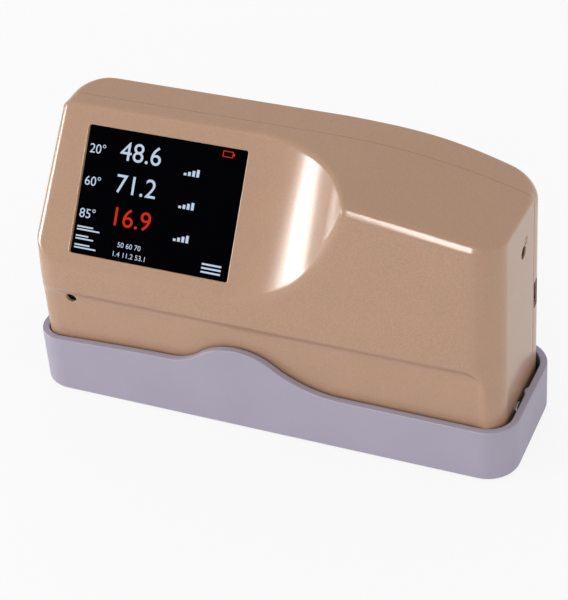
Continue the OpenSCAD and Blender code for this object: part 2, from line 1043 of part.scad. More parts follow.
module board_screws() {
    color("#8d8f94") {
        at_main_holes()
            screw(m2, small_screw_len);
        at_bracket_holes()
            screw(m2, small_screw_len);
        at_side_holes()
            screw(m2, small_screw_len);
        at_sensor_holes()
            screw(m2, board_t + sensor_lift);
        at_chassis_holes()
            screw(m3, plate_screw_len);
    }
}

module battery_pack() {
    color("#3b6ea8")
        translate([battery_x, battery_y, chassis_top])
            linear_extrude(battery_h)
                round_rect(battery_len, battery_w, battery_r);
}

module power_button() {
    flange_x = half_len - wall - button_play;
    color("#1a1a1c")
        translate([flange_x, button_y, button_z])
            rotate([0, 90, 0]) {
                cylinder(d = button_d, h = wall);
                translate([0, 0, -flange_t])
                    cylinder(d = button_d + 2 * flange_lap, h = flange_t + eps);
                translate([0, 0, -flange_t - stem_len])
                    cylinder(d = stem_d, h = stem_len + eps);
            }
}

module power_switch() {
    stem_end = half_len - wall - button_play - flange_t - stem_len;
    reach = stem_end - button_travel - button_play - side_x - board_t;
    color("#2b2b2d")
        translate([side_x + board_t, button_y, button_z])
            rotate([0, 90, 0]) {
                linear_extrude(reach - plunger_h)
                    round_rect(switch_w, switch_w, switch_r);
                cylinder(d = plunger_d, h = reach);
            }
}

module usb_socket() {
    depth = half_len - socket_in - side_x - board_t;
    color("#c9ccd1")
        translate([side_x + board_t, port_y, port_z])
            rotate([90, 0, 90])
                difference() {
                    linear_extrude(depth)
                        round_rect(socket_w, socket_h, socket_r);
                    difference() {
                        translate([0, 0, depth - socket_depth])
                            linear_extrude(far)
                                round_rect(socket_w - 2 * socket_t, socket_h - 2 * socket_t, socket_r - socket_t / 2);
                        translate([0, 0, depth - socket_depth - bore_over])
                            linear_extrude(socket_depth + bore_over - tongue_in)
                                square([tongue_w, tongue_h], center = true);
                    }
                }
}

module buzzer() {
    color("#161617")
        translate([sound_x, -low_half + wall + fit, sound_z])
            rotate([-90, 0, 0])
                difference() {
                    cylinder(d = buzzer_d, h = buzzer_h);
                    translate([0, 0, -bore_over])
                        cylinder(d = buzzer_hole_d, h = buzzer_hole_deep + bore_over);
                }
}

// Optics

module optical_block() {
    color("#26272a")
        difference() {
            union() {
                translate([aim_x, 0, base_top])
                    through(aim_y - block_w / 2, aim_y + block_w / 2)
                        polygon([
                            [-block_half, 0], [block_half, 0], [block_half, shoulder_h],
                            [block_top_half, block_h], [-block_top_half, block_h], [-block_half, shoulder_h]
                        ]);
                for (sx = [-1, 1])
                    translate([aim_x + sx * foot_x, aim_y, base_top])
                        linear_extrude(foot_t)
                            square([foot_w, 2 * foot_half], center = true);
            }
            for (i = [0:2], side = [-1, 1]) {
                on_beam(i, side, 0)
                    cylinder(d = bore_d[i], h = far / 4);
                on_beam(i, side, lens_at[i])
                    cylinder(d = lens_d[i], h = far / 4);
                on_beam(i, side, lamp_at[i])
                    cylinder(d = seat_d[i], h = far / 4);
            }
            translate([aim_x, aim_y, 0])
                linear_extrude(base_top + aperture_rise)
                    round_rect(aperture_len, aperture_w, aperture_r);
            at_foot_holes() {
                translate([0, 0, -bore_over])
                    cylinder(d = m3[0] + screw_play, h = foot_t + 2 * bore_over);
                translate([0, 0, -far / 4])
                    cylinder(d = m3[1] + 2 * screw_play, h = far / 4);
            }
            at_chassis_holes()
                cylinder(d = m3[0] + screw_play, h = plate_screw_len + bore_deep);
        }
}

module optics_screws() {
    color("#8d8f94")
        at_foot_holes()
            screw(m3, foot_t + base_t - seat_gap);
}

module leads(i, from) {
    for (s = [-1, 1])
        translate([s * seat_d[i] / 6, 0, from - eps])
            cylinder(d = lead_d, h = lead_len);
}

module lamp(i) {
    d = seat_d[i] - 2 * fit;
    color("#e8e2c8")
        on_beam(i, -1, lamp_at[i]) {
            cylinder(d = d, h = lamp_len);
            leads(i, lamp_len);
        }
}

module detector(i) {
    d = seat_d[i] - 2 * fit;
    color("#5a5d66")
        on_beam(i, 1, lamp_at[i]) {
            cylinder(d = d, h = sensor_len);
            leads(i, sensor_len);
        }
}

// One plano-convex lens: a disc under a shallow dome
module lens(i) {
    d = lens_d[i] - 2 * fit;
    dome = d * 0.9;
    intersection() {
        cylinder(d = d, h = lens_t + d / 6);
        translate([0, 0, lens_t + d / 6 - dome])
            sphere(dome);
    }
}

module lenses(side) {
    color("#bcd2dc")
        for (i = [0:2])
            on_beam(i, side, lens_at[i])
                lens(i);
}

holder_tray();
calibration_tile();
tile_felt();
front_shell();
rear_cover();
base_plate();
base_screws();
end_screws();
screen_glass();
screen_gasket();
display_panel();
display_bracket();
main_board();
sensor_board();
side_board();
chassis_plate();
standoffs();
board_screws();
battery_pack();
power_button();
power_switch();
usb_socket();
buzzer();
optical_block();
optics_screws();
lamp(0);  // lamp_20
lamp(1);  // lamp_60
lamp(2);  // lamp_85
detector(0);  // detector_20
detector(1);  // detector_60
detector(2);  // detector_85
lenses(-1);  // source_lenses
lenses(1);  // receiver_lenses
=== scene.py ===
"""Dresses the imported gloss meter: shells, holder, screen, button, screws, finishes and stage."""

import math

import bmesh
import bpy
import numpy as np
from mathutils import Matrix, Vector


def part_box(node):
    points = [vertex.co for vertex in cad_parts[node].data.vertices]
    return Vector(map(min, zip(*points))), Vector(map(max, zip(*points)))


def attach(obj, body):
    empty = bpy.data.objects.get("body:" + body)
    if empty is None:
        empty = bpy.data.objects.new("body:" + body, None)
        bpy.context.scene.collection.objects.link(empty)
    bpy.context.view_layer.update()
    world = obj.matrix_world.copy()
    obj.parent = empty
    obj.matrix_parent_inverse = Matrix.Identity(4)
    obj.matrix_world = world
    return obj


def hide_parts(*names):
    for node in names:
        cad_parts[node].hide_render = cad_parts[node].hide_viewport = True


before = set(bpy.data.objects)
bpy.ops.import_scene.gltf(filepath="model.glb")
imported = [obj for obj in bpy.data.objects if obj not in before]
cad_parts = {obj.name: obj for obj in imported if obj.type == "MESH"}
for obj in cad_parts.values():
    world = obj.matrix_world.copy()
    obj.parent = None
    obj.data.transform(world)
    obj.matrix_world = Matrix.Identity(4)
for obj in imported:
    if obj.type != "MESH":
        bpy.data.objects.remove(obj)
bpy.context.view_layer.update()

bl_info = {
    "name": "Gloss meter dressing",
    "version": (1, 0, 0),
    "blender": (4, 5, 0),
    "location": "View3D > Sidebar > Gloss meter",
    "description": "Builds the shells, holder, screen and finishes of a gloss meter around its frame",
    "category": "Object",
}

MM = 0.001
SHELL_LOW, SHELL_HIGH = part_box("front_shell")
TRAY_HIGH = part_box("holder_tray")[1]
TILE_LOW, TILE_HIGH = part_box("calibration_tile")
BUTTON_LOW, BUTTON_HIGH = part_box("power_button")
SOCKET_LOW, SOCKET_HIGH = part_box("usb_socket")
END_LOW, END_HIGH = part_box("end_screws")
BASE_LOW, BASE_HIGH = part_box("base_screws")


def length(name, text, default):
    """A length property in metres, given in millimetres."""
    return bpy.props.FloatProperty(
        name=name, description=text, default=default * MM, unit="LENGTH", precision=5
    )


def angle(name, text, default):
    """An angle property, given in degrees."""
    return bpy.props.FloatProperty(
        name=name, description=text, default=math.radians(default), unit="ROTATION"
    )


def colour(name, text, default):
    """A colour property in linear light."""
    return bpy.props.FloatVectorProperty(
        name=name, description=text, default=default, subtype="COLOR", size=3, min=0.0, max=1.0
    )


def fraction(name, text, default):
    """A share from 0 to 1."""
    return bpy.props.FloatProperty(
        name=name, description=text, default=default, subtype="FACTOR", min=0.0, max=1.0
    )


def brightness(name, text, default):
    """A level of light, where 1 is plain white."""
    return bpy.props.FloatProperty(name=name, description=text, default=default, min=0.0)


def watts(name, text, default):
    """The power of a lamp."""
    return bpy.props.FloatProperty(name=name, description=text, default=default, unit="POWER")


class HousingSizes(bpy.types.PropertyGroup):
    """Sizes of the moulded housing."""

    length: length("Length", "Length of the housing", (SHELL_HIGH.x - SHELL_LOW.x) / MM)
    depth: length("Depth", "Depth above the waist", -2 * SHELL_LOW.y / MM)
    foot: length("Foot", "Height of the lower rim above the table", SHELL_LOW.z / MM)
    top: length("Top", "Height of the flat top above the table", SHELL_HIGH.z / MM)
    front_radius: length("Front corners", "Plan radius of the front corners", 10)
    rear_radius: length("Rear corners", "Plan radius of the rear corners", 11)
    edge_radius: length("Top edges", "Radius along the top edges in front", 3.5)
    back_radius: length("Back edge", "Radius along the top edge at the back", 2.3)
    corner_radius: length("Rear corner", "Radius of the top edge at the rear right corner", 4)
    end_edge: length("Right edge", "Radius along the top edge of the right end", 1.3)
    left_edge: length("Left edge", "Radius along the top edge of the left end", 4.8)
    end_lean: angle("End lean", "Lean of the left end", 3.3)
    end_foot: length("Lean height", "Height at which the left end begins to lean", 46)
    end_out: length("End foot", "How far the left end stands out at its foot", 0.4)
    seam: length("Seam", "Distance of the seam behind the middle", 12.1)
    seam_gap: length("Seam gap", "Width of the seam", 0.12)
    seam_ease: length("Seam ease", "How far the seam's lips turn in", 0.08)
    wall: length("Wall", "Thickness of the walls that show", 1.1)
    fall_x: length("Fall", "Where the flat top begins to fall at the seam", 14)
    fall_angle: angle("Fall angle", "Angle of the falling top at the seam", 18.2)
    front_fall_x: length("Front fall", "Where the flat top begins to fall at the front edge", 20.9)
    front_fall: angle("Front fall angle", "Angle of the falling top at the front edge", 7.8)
    fall_radius: length("Bend", "Radius of the bend into the falling top at the seam", 220)
    front_bend: length("Front bend", "Radius of the bend into the falling top at the front edge", 75)
    tilt: angle("Lean", "Lean of the screen face from upright", 35.5)
    face_z: length("Face", "Height of the lower edge of the screen face", 53.8)
    face_round: length("Face top edge", "Radius along the upper edge of the screen face", 1.2)
    face_foot: length("Face foot", "Radius along the lower edge of the screen face", 1.2)
    face_side: length("Face side", "Radius between the screen face and the left end", 4)
    scoop_x: length("Hollow", "Where the hollow beside the screen begins", -9)
    scoop_radius: length("Hollow radius", "Radius of the hollow beside the screen", 47)
    waist_z: length("Waist", "Height of the waist's upper edge", 43.2)
    waist_in: length("Waist depth", "Depth of the waist", 2.2)
    waist_end: length("Waist end", "Where the waist runs out at the right", 79.56)
    waist_radius: length("Waist corner", "Radius of the waist's upper corner", 9)
    low_radius: length("Lower corner", "Plan radius of the lower left corners", 10)
    low_over: length("Lower end", "How far the outline of the lower part passes the left end", 2)
    waist_round: length("Waist edge", "Radius along the waist's edge", 0.9)
    waist_fillet: length("Waist fillet", "Radius of the hollow under the waist's edge", 9)


class HolderSizes(bpy.types.PropertyGroup):
    """Sizes of the calibration holder."""

    left: length("Left end", "Place of the left end", -85.9)
    right: length("Right end", "Place of the right end", TRAY_HIGH.x / MM)
    corner: length("Front corners", "Outer radius of the front corners", 11)
    rear_corner: length("Rear corners", "Outer radius of the rear corners", 13)
    wall: length("Wall", "Thickness of the wall", 2.5)
    floor: length("Floor", "Height of the floor inside", TILE_HIGH.z / MM)
    rim: length("Rim", "Height of the rim in the middle of the front", 20.6)
    rim_side: length("Rim slant", "How far the rim falls from left to right", 1.2)
    rim_back: length("Rim drop", "How far the rim falls from front to back", 2.0)
    rim_rise: length("Rim rise", "How far the rim rises from the left end to the crest", 2.8)
    rib: length("Rib", "Height of the rib inside the right end", 0.8)
    rib_width: length("Rib width", "Half width of the rib", 2.4)
    crest: length("Crest", "Height of the raised crest", TRAY_HIGH.z / MM - 1.8)
    crest_x: length("Crest place", "Middle of the crest along the length", -8.2)
    crest_radius: length("Crest radius", "Radius of the crest", 22)
    short_foot: length("Short foot", "Radius of the crest's short foot", 18)
    long_foot: length("Long foot", "Radius of the crest's long foot", 40)
    rim_round: length("Rim edges", "Radius along the rim", 0.4)
    base_round: length("Bottom edge", "Radius along the bottom edge", 1.0)
    seat_depth: length("Seat depth", "Depth of the seat of the tile", 4.6)
    seat_gap: length("Seat gap", "Gap round the tile", 0.3)
    seat_lead: length("Seat lead", "Width of the bevel round the seat", 0.3)
    seat_corner: length("Seat corners", "Corner radius of the tile in the seat", 1)
    floor_round: length("Floor edge", "Radius between the floor and the wall inside", 0.8)


class ScreenSizes(bpy.types.PropertyGroup):
    """Sizes of the screen window and of what it shows."""

    width: length("Width", "Width of the window", 57.6)
    height: length("Height", "Height of the window", 43.2)
    place: length("Place", "Middle of the window along the length", -39.2)
    drop: length("Drop", "How far the window lies below the middle of the face", 0.7)
    corner: length("Corners", "Corner radius of the window", 0.8)
    recess: length("Recess", "Depth of the glass under the face", 1.2)
    flare: length("Edge", "Radius of the window's edge", 0.4)
    reading: length("Readings", "Height of the large figures", 6.4)
    label: length("Labels", "Height of the angle labels", 3.2)
    small: length("Small figures", "Height of the small figures", 1.75)


class OpeningSizes(bpy.types.PropertyGroup):
    """Sizes of the small openings of the housing."""

    button: length("Button bore", "Diameter of the power button's bore", 4.5)
    button_edge: length("Button edge", "Radius of the edge of the button's bore", 0.15)
    screw: length("Screw bores", "Diameter of the end screws' bores", 5.8)
    sound: length("Sound hole", "Diameter of the sound hole", 3.6)
    sound_x: length("Sound place", "Place of the sound hole along the length", -69.4)
    sound_z: length("Sound height", "Height of the sound hole", 39)
    slot_width: length("Slot width", "Width of the charging slot", 4.4)
    slot_height: length("Slot height", "Height of the charging slot", 10.6)
    slot_corner: length("Slot corners", "Corner radius of the charging slot", 1)
    edge: length("Edges", "Radius of the edges of the other openings", 0.2)


class SmallSizes(bpy.types.PropertyGroup):
    """Sizes of the button, its mark and the screws."""

    button: length("Button", "Diameter of the power button", 4.2)
    dish: length("Dish", "Depth of the hollow in the button's face", 0.2)
    mark: length("Mark", "Diameter of the power mark", 2.3)
    mark_line: length("Mark line", "Width of the mark's lines", 0.42)
    mark_y: length("Mark place", "Distance of the mark behind the button", 2.6)
    mark_z: length("Mark height", "Height of the mark over the button", 2.9)
    head: length("Screw head", "Diameter of the screw heads", END_HIGH.y / MM - END_LOW.y / MM)
    head_height: length("Head height", "Height of the screw heads", 1.8)
    shank: length("Shank", "Diameter of the screws", 3)
    screw_length: length("Screw length", "Length of the screws over all", 9.8)
    cross: length("Cross", "Length of the cross recess", 3.2)
    arm: length("Arm", "Width of the recess's arms", 0.9)
    recess: length("Recess", "Depth of the cross recess", 0.8)
    slope: length("Recess wall", "Run of the recess's sloping walls", 0.3)


class Finishes(bpy.types.PropertyGroup):
    """Colours of the finishes."""

    housing: colour("Housing", "Champagne paint of the housing", (0.478, 0.290, 0.190))
    holder: colour("Holder", "Plastic of the holder", (0.385, 0.352, 0.445))
    glass: colour("Glass", "Dark glass of the screen", (0.0004, 0.0005, 0.0013))
    figures: colour("Figures", "Pale figures of the display", (0.50, 0.60, 0.74))
    alert: colour("Alert", "Red figures of the display", (0.58, 0.025, 0.008))
    key: colour("Button", "Black plastic of the button", (0.012, 0.011, 0.012))
    mark: colour("Mark", "Printed mark over the button", (0.14, 0.12, 0.11))
    steel: colour("Steel", "Bright steel of the screws", (0.46, 0.45, 0.44))


class StageSettings(bpy.types.PropertyGroup):
    """Camera, floor and light."""

    camera_azimuth: angle("Azimuth", "Turn of the camera round the object", 25.12)
    camera_height: angle("Elevation", "Height of the camera above the horizon", 37.12)
    camera_roll: angle("Roll", "Roll of the camera", -4.65)
    camera_distance: length("Distance", "Distance from the camera to its target", 683.44)
    camera_lens: bpy.props.FloatProperty(
        name="Lens", description="Focal length on a 36 mm sensor", default=121.63, unit="CAMERA"
    )
    target: bpy.props.FloatVectorProperty(
        name="Target", description="Point that the camera looks at", default=(-0.00089, 0.0, 0.03665),
        subtype="TRANSLATION", size=3, precision=5,
    )
    floor: colour("Floor", "Pale floor", (0.86, 0.86, 0.86))
    floor_white: fraction("Floor white", "Share of plain white in the floor that the camera sees", 0.85)
    floor_mirror: fraction("Floor mirror", "Share of that white that stays in mirrors", 0.6)
    fill: brightness("Fill", "Light from all round, set against what mirrors show", 1.37)
    behind: brightness("Behind", "Level of the surround above and behind, which the top mirrors", 0.5)
    ahead: brightness("Ahead", "Level of the surround ahead, which the screen face mirrors", 0.72)
    upper_lamp: watts("Upper lamp", "Power of the upper lamp", 0.5)
    left_lamp: watts("Left lamp", "Power of the left lamp", 3.0)
    edge_card: watts("Edge card", "Power of the front card that shows in gloss alone", 8.6)
    side_card: watts("Side card", "Power of the left card that shows in gloss alone", 3.6)
    core_card: watts("Core card", "Power of the small gloss card within the left one", 1.4)


# Mesh tools

# Distances in metres: points that merge, those of the shells, collapsed edges, and points of figures
MERGE = 2e-6
SKIN_MERGE = 2e-5
COLLAPSED = 1e-7
FIGURE_MERGE = 1e-7

# Cutters: how deep they go and how far they stand out of the window, a bore and the slot
CUT_DEPTH = 4 * MM
WINDOW_REACH = 3 * MM
BORE_REACH = 1.5 * MM
SLOT_REACH = 1 * MM

# Directions of the object, and turns whose rows say where a shape's own x, y and z point
RIGHT, BACK, UP = np.eye(3)
TURN_RIGHT = np.array([BACK, UP, RIGHT])
TURN_LEFT = np.array([BACK, -UP, -RIGHT])
TURN_DOWN = np.array([RIGHT, -BACK, -UP])


def grid_faces(rows, columns, closed=False, start=0):
    """Quads of a grid of rows x columns points, whose columns may close into a ring."""
    step = np.arange(columns if closed else columns - 1)
    a = (np.arange(rows - 1)[:, None] * columns + step[None, :]).ravel()
    b = (np.arange(rows - 1)[:, None] * columns + (step[None, :] + 1) % columns).ravel()
    return start + np.stack([a, b, b + columns, a + columns], axis=1)


def steps(*spans):
    """Positions along chained spans, each given as start, end and count."""
    runs = [np.linspace(a, b, count, endpoint=False) for a, b, count in spans]
    return np.concatenate(runs + [np.array([spans[-1][1]])])


def clean(mesh, merge, collapse=0.0):
    """Merges doubles, drops collapsed faces where asked to and turns faces outwards."""
    work = bmesh.new()
    work.from_mesh(mesh)
    bmesh.ops.remove_doubles(work, verts=work.verts, dist=merge)
    if collapse:
        bmesh.ops.dissolve_degenerate(work, edges=work.edges, dist=collapse)
    bmesh.ops.recalc_face_normals(work, faces=work.faces)
    work.to_mesh(mesh)
    work.free()
    return mesh


def mesh_from(name, points, quads, merge=MERGE):
    """A clean mesh of quads, from points in metres."""
    mesh = bpy.data.meshes.new(name)
    mesh.vertices.add(len(points))
    mesh.vertices.foreach_set("co", np.asarray(points, np.float32).ravel())
    mesh.loops.add(quads.size)
    mesh.loops.foreach_set("vertex_index", quads.astype(np.int32).ravel())
    mesh.polygons.add(len(quads))
    mesh.polygons.foreach_set("loop_start", np.arange(0, quads.size, 4, dtype=np.int32))
    mesh.update(calc_edges=True)
    mesh.validate()
    return clean(mesh, merge, COLLAPSED)


def chained(grids, closed=False):
    """Points and quads of several grids in one list."""
    points, quads, start = [], [], 0
    for grid in grids:
        points.append(grid.reshape(-1, 3))
        quads.append(grid_faces(*grid.shape[:2], closed=closed, start=start))
        start += grid.shape[0] * grid.shape[1]
    return np.concatenate(points), np.concatenate(quads)


def smooth(mesh, degrees):
    """Smooth shading with creases kept where faces meet at more than the given angle."""
    mesh.polygons.foreach_set("use_smooth", np.ones(len(mesh.polygons), bool))
    mesh.set_sharp_from_angle(angle=math.radians(degrees))


def even_shading(piece, degrees, weight):
    """Smooth shading in which wide faces rule the normals and creases stay sharp."""
    smooth(piece.data, degrees)
    shading = piece.modifiers.new("Even shading", "WEIGHTED_NORMAL")
    shading.keep_sharp = True
    shading.weight = weight


def add_piece(name, mesh, finish, body, slot, *nodes):
    """Puts a mesh into the scene as a piece that rides on a body and stands for CAD nodes."""
    piece = bpy.data.objects.new(name, mesh)
    bpy.context.scene.collection.objects.link(piece)
    mesh.materials.append(finish)
    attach(piece, body)
    if nodes:
        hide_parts(*nodes)
    return piece


def applied(piece):
    """Replaces a piece's mesh by the one that its modifiers give."""
    graph = bpy.context.evaluated_depsgraph_get()
    made = bpy.data.meshes.new_from_object(piece.evaluated_get(graph))
    old = piece.data
    piece.modifiers.clear()
    piece.data = made
    made.name = piece.name
    bpy.data.meshes.remove(old)


def rounded_outline(half_x, half_y, front, rear, side_x, side_y, turn=8):
    """Closed outline of a rectangle with front and rear corner radii, anticlockwise from the right end.

    Straight runs come from sorted shares of the run from -1 to 1 and each corner is a quarter circle.
    """
    near_x, near_y, far_x, far_y = half_x - front, half_y - front, half_x - rear, half_y - rear
    arc = np.linspace(0, math.pi / 2, turn + 2)[1:-1]
    cos, sin = np.cos(arc), np.sin(arc)
    ends = (side_y + 1) / 2 * (near_y + far_y) - near_y
    runs = [
        np.stack([np.full(len(side_y), half_x), ends], axis=1),
        np.stack([far_x + rear * cos, far_y + rear * sin], axis=1),
        np.stack([-side_x * far_x, np.full(len(side_x), half_y)], axis=1),
        np.stack([-far_x - rear * sin, far_y + rear * cos], axis=1),
        np.stack([np.full(len(side_y), -half_x), ends[::-1]], axis=1),
        np.stack([-near_x - front * cos, -near_y - front * sin], axis=1),
        np.stack([side_x * near_x, np.full(len(side_x), -half_y)], axis=1),
        np.stack([near_x + front * sin, -near_y - front * cos], axis=1),
    ]
    return np.concatenate(runs)


def cutter(half_x, half_y, radius, flare, reach, place):
    """Closed prism that cuts an opening with a rounded edge.

    The outline grows by flare * (1 - sin a) at a depth of flare * (1 - cos a), is straight from there to
    the cut's depth and as wide as its mouth outside. place maps (u, v, inwards) to the object.
    """
    a = np.linspace(0, math.pi / 2, 5)
    grow = np.concatenate([[flare], flare * (1 - np.sin(a)), [0.0]])
    sink = np.concatenate([[-reach], flare * (1 - np.cos(a)), [CUT_DEPTH]])
    ends = np.array([-1.0, 1.0])
    rings = [rounded_outline(half_x + g, half_y + g, radius + g, radius + g, ends, ends) for g in grow]
    n = len(rings[0])
    loops = [np.column_stack([ring, np.full(n, depth)]) for ring, depth in zip(rings, sink)]
    first, last = loops[0].mean(axis=0), loops[-1].mean(axis=0)
    points = np.concatenate([np.tile(first, (n, 1)), *loops, np.tile(last, (n, 1))])
    return mesh_from("cutter", place(points), grid_faces(len(loops) + 2, n, closed=True))


def round_cutter(diameter, flare, place):
    """Closed cylinder that cuts a bore with a rounded edge."""
    radius = diameter / 2
    return cutter(radius, radius, radius, flare, BORE_REACH, place)


def cut(piece, cutters):
    """Takes cutters out of a piece and removes them."""
    work = bmesh.new()
    for mesh in cutters:
        work.from_mesh(mesh)
        bpy.data.meshes.remove(mesh)
    joined = bpy.data.meshes.new("cutters")
    work.to_mesh(joined)
    work.free()
    tool = bpy.data.objects.new("cutters", joined)
    bpy.context.scene.collection.objects.link(tool)
    take = piece.modifiers.new("Openings", "BOOLEAN")
    take.operation = "DIFFERENCE"
    take.solver = "EXACT"
    take.object = tool
    applied(piece)
    bpy.data.objects.remove(tool)
    bpy.data.meshes.remove(joined)


# Housing

# Blends of the top edge's radius: where each begins and how far it runs, from the ends or the middle
RIGHT_BLEND = (-11 * MM, 10 * MM)
LEFT_BLEND = (-14 * MM, 13 * MM)
CORNER_BLEND = (45 * MM, 37 * MM)
BACK_BLEND = (9 * MM, 7 * MM)

# Lean of the left end: where it begins along the length, and how soft its bend is
LEAN_START = 60 * MM
LEAN_SOFT = 4 * MM

# Search for the skin: halvings, step of the slopes, least height of the top, start (y, z) and reach of rays
HALVINGS = 44
SLOPE_STEP = 2e-6
CROWN_LOW = 60 * MM
RAY_START = np.array([2 * MM, 50 * MM])
RAY_REACH = 1.35

# Cross-sections: run of the close ones at each end, how far the last stays inside, and those of the hollow
END_RUN = 10.5 * MM
END_INSET = 2e-7
HOLLOW_START, HOLLOW_END = -11 * MM, 35 * MM

# Guide corners: steps off the waist's edge, rise of the heel, and shares of the arcs that they follow
WAIST_UNDER = 7 * MM
WAIST_OVER = 2 * MM
HEEL_RISE = 14 * MM
HEEL_LIFT = 8 * MM
HEEL_RUN = 40 * MM
WAIST_SHARE = 0.93
HOLLOW_SHARE = 0.999

# Power by which eased shares crowd towards an end
CROWDING = 1.7


def round_max(a, b, radius):
    """Intersection of two fields with a rounded edge.

    It is the arc where both lie nearer than the radius, and the larger of the two elsewhere.
    """
    arc = np.hypot(np.maximum(a + radius, 0), np.maximum(b + radius, 0))
    return np.minimum(np.maximum(a, b), -radius) + arc


def round_box(x, y, half_x, half_y, radius):
    """Distance from a rounded rectangle about the origin, negative inside."""
    u, v = np.abs(x) - half_x + radius, np.abs(y) - half_y + radius
    return np.hypot(np.maximum(u, 0), np.maximum(v, 0)) + np.minimum(np.maximum(u, v), 0) - radius


def ease(t):
    """Smooth step from 0 to 1."""
    t = np.clip(t, 0, 1)
    return t * t * (3 - 2 * t)


def blend(value, start, run):
    """Smooth step that begins at a start and is complete after a run."""
    return ease((value - start) / run)


def halved(inside, low, high):
    """Where a test turns from true at low to false at high, found by halving the span."""
    for _ in range(HALVINGS):
        half = (low + high) / 2
        within = inside(half)
        low, high = np.where(within, half, low), np.where(within, high, half)
    return low


def fall_profile(x, top, start, radius, turn):
    """Height and slope of a flat top that bends down along an arc from a start and then falls straight."""
    out = np.clip(x - start, 0, radius * math.sin(turn))
    drop = radius - np.sqrt(radius**2 - out**2)
    slope = out / np.sqrt(radius**2 - out**2)
    return top - drop - np.maximum(x - start - radius * math.sin(turn), 0) * math.tan(turn), slope


class HousingForm:
    """The housing as a field that is negative inside, and the rays that find its skin."""

    def __init__(self, sizes):
        self.s = sizes
        self.half_x, self.half_y = sizes.length / 2, sizes.depth / 2
        self.low_y = self.half_y - sizes.waist_in
        fillet = sizes.waist_fillet
        self.lift = fillet - math.sqrt(fillet**2 - (fillet - sizes.waist_in) ** 2)
        self.sin_t, self.cos_t = math.sin(sizes.tilt), math.cos(sizes.tilt)

    def top_height(self, x, y):
        """Height of the top and its steepness: the front and seam profiles joined by straight lines."""
        s = self.s
        span = self.half_y + s.seam
        share = (y + self.half_y) / span
        front, front_slope = fall_profile(x, s.top, s.front_fall_x, s.front_bend, s.front_fall)
        seam, seam_slope = fall_profile(x, s.top, s.fall_x, s.fall_radius, s.fall_angle)
        slope = front_slope + share * (seam_slope - front_slope)
        return front + share * (seam - front), np.sqrt(1 + slope**2 + ((seam - front) / span) ** 2)

    def top_field(self, x, y, z):
        """Distance above the top."""
        height, steep = self.top_height(x, y)
        return (z - height) / steep

    def top_edge(self, x, y):
        """Radius of the top edge.

        It is even along the front, tightest at the right end, tighter along the back, and rounder at the
        left end and at the rear right corner.
        """
        s = self.s
        right = blend(x - self.half_x, *RIGHT_BLEND)
        left = blend(-x - self.half_x, *LEFT_BLEND)
        front = s.edge_radius + (s.end_edge - s.edge_radius) * right + (s.left_edge - s.edge_radius) * left
        back = s.back_radius + (s.left_edge - s.back_radius) * left
        back = back + (s.corner_radius - s.back_radius) * blend(x, *CORNER_BLEND)
        return front + (back - front) * blend(y, *BACK_BLEND)

    def edge_drop(self, x, y):
        """How far the rounded end edge lies under the top."""
        radius = self.top_edge(x, y)
        out = np.maximum(np.abs(x) - self.half_x + radius, 0)
        return radius - np.sqrt(np.maximum(radius**2 - out**2, 0))

    def face_field(self, x, y, z):
        """Distance in front of the leaning face and of the hollow, a cylinder that runs up the slope."""
        s = self.s
        inwards = (y + self.half_y) * self.cos_t - (z - s.face_z) * self.sin_t
        hollow = s.scoop_radius - np.hypot(x - s.scoop_x, inwards + s.scoop_radius)
        return np.where(x < s.scoop_x, -inwards, hollow)

    def field(self, p):
        """The whole form: rounded plan, top, face with hollow, and the waist."""
        s = self.s
        x, y, z = p[..., 0], p[..., 1], p[..., 2]
        radius = np.where(y < 0, s.front_radius, s.rear_radius)
        body = round_box(x, y, self.half_x, self.half_y, radius)
        body = round_max(body, self.top_field(x, y, z), self.top_edge(x, y))
        face = self.face_field(x, y, z)
        rise = np.clip((z - s.face_z) / (s.top - s.face_z), 0, 1)
        body = round_max(body, face, s.face_foot + (s.face_round - s.face_foot) * rise)
        beside = np.where(x < s.scoop_x, face, -1.0)
        body = np.maximum(body, round_max(-x - self.half_x, beside, s.face_side))
        reach = 4 * self.half_x
        low = round_box(x + self.half_x + s.low_over - reach, y, reach, self.low_y, s.low_radius)
        end, top = s.waist_end + self.lift, s.waist_z + self.lift
        side = round_box(x - end + reach, z, reach, top, s.waist_radius + self.lift)
        waist = -round_max(-low, side, s.waist_fillet)
        return round_max(body, waist, s.waist_round)

    def lean(self, p):
        """Moves points of the left end: it stands out a little at its foot and leans in above it."""
        s = self.s
        x, z = p[..., 0], p[..., 2]
        rise = z - s.end_foot
        above = (rise + np.hypot(rise, LEAN_SOFT)) / 2
        near = blend(-x, LEAN_START, self.half_x - LEAN_START)
        moved = p.copy()
        moved[..., 0] += near * (above * math.tan(s.end_lean) - s.end_out)
        return moved

    def crown(self, x, y):
        """Height of the skin over each place, found by halving."""
        column = np.full(x.shape, y)

        def inside(z):
            return self.field(np.stack([x, column, z], axis=-1)) < 0

        return halved(inside, np.full(x.shape, CROWN_LOW), np.full(x.shape, self.s.top + MM))

    def normal(self, p):
        """Unit gradient of the field by central differences."""
        h = SLOPE_STEP
        slopes = [self.field(p + h * axis) - self.field(p - h * axis) for axis in (RIGHT, BACK, UP)]
        n = np.stack(slopes, axis=-1)
        return n / np.linalg.norm(n, axis=-1, keepdims=True)

    def stations(self):
        """Places of the cross-sections: close where the ends turn and along the hollow."""
        turn = np.radians(np.linspace(0, 90, 17))[1:]
        turn_x = self.half_x - END_RUN
        ends = turn_x + (END_RUN - END_INSET) * np.sin(turn)
        middle = steps((-turn_x, HOLLOW_START, 30), (HOLLOW_START, HOLLOW_END, 62), (HOLLOW_END, turn_x, 26))
        return np.concatenate([-ends[::-1], middle, ends])

    def guides(self, x):
        """Corner points (y, z) of each cross-section, from the front foot over the top to the rear foot."""
        s = self.s

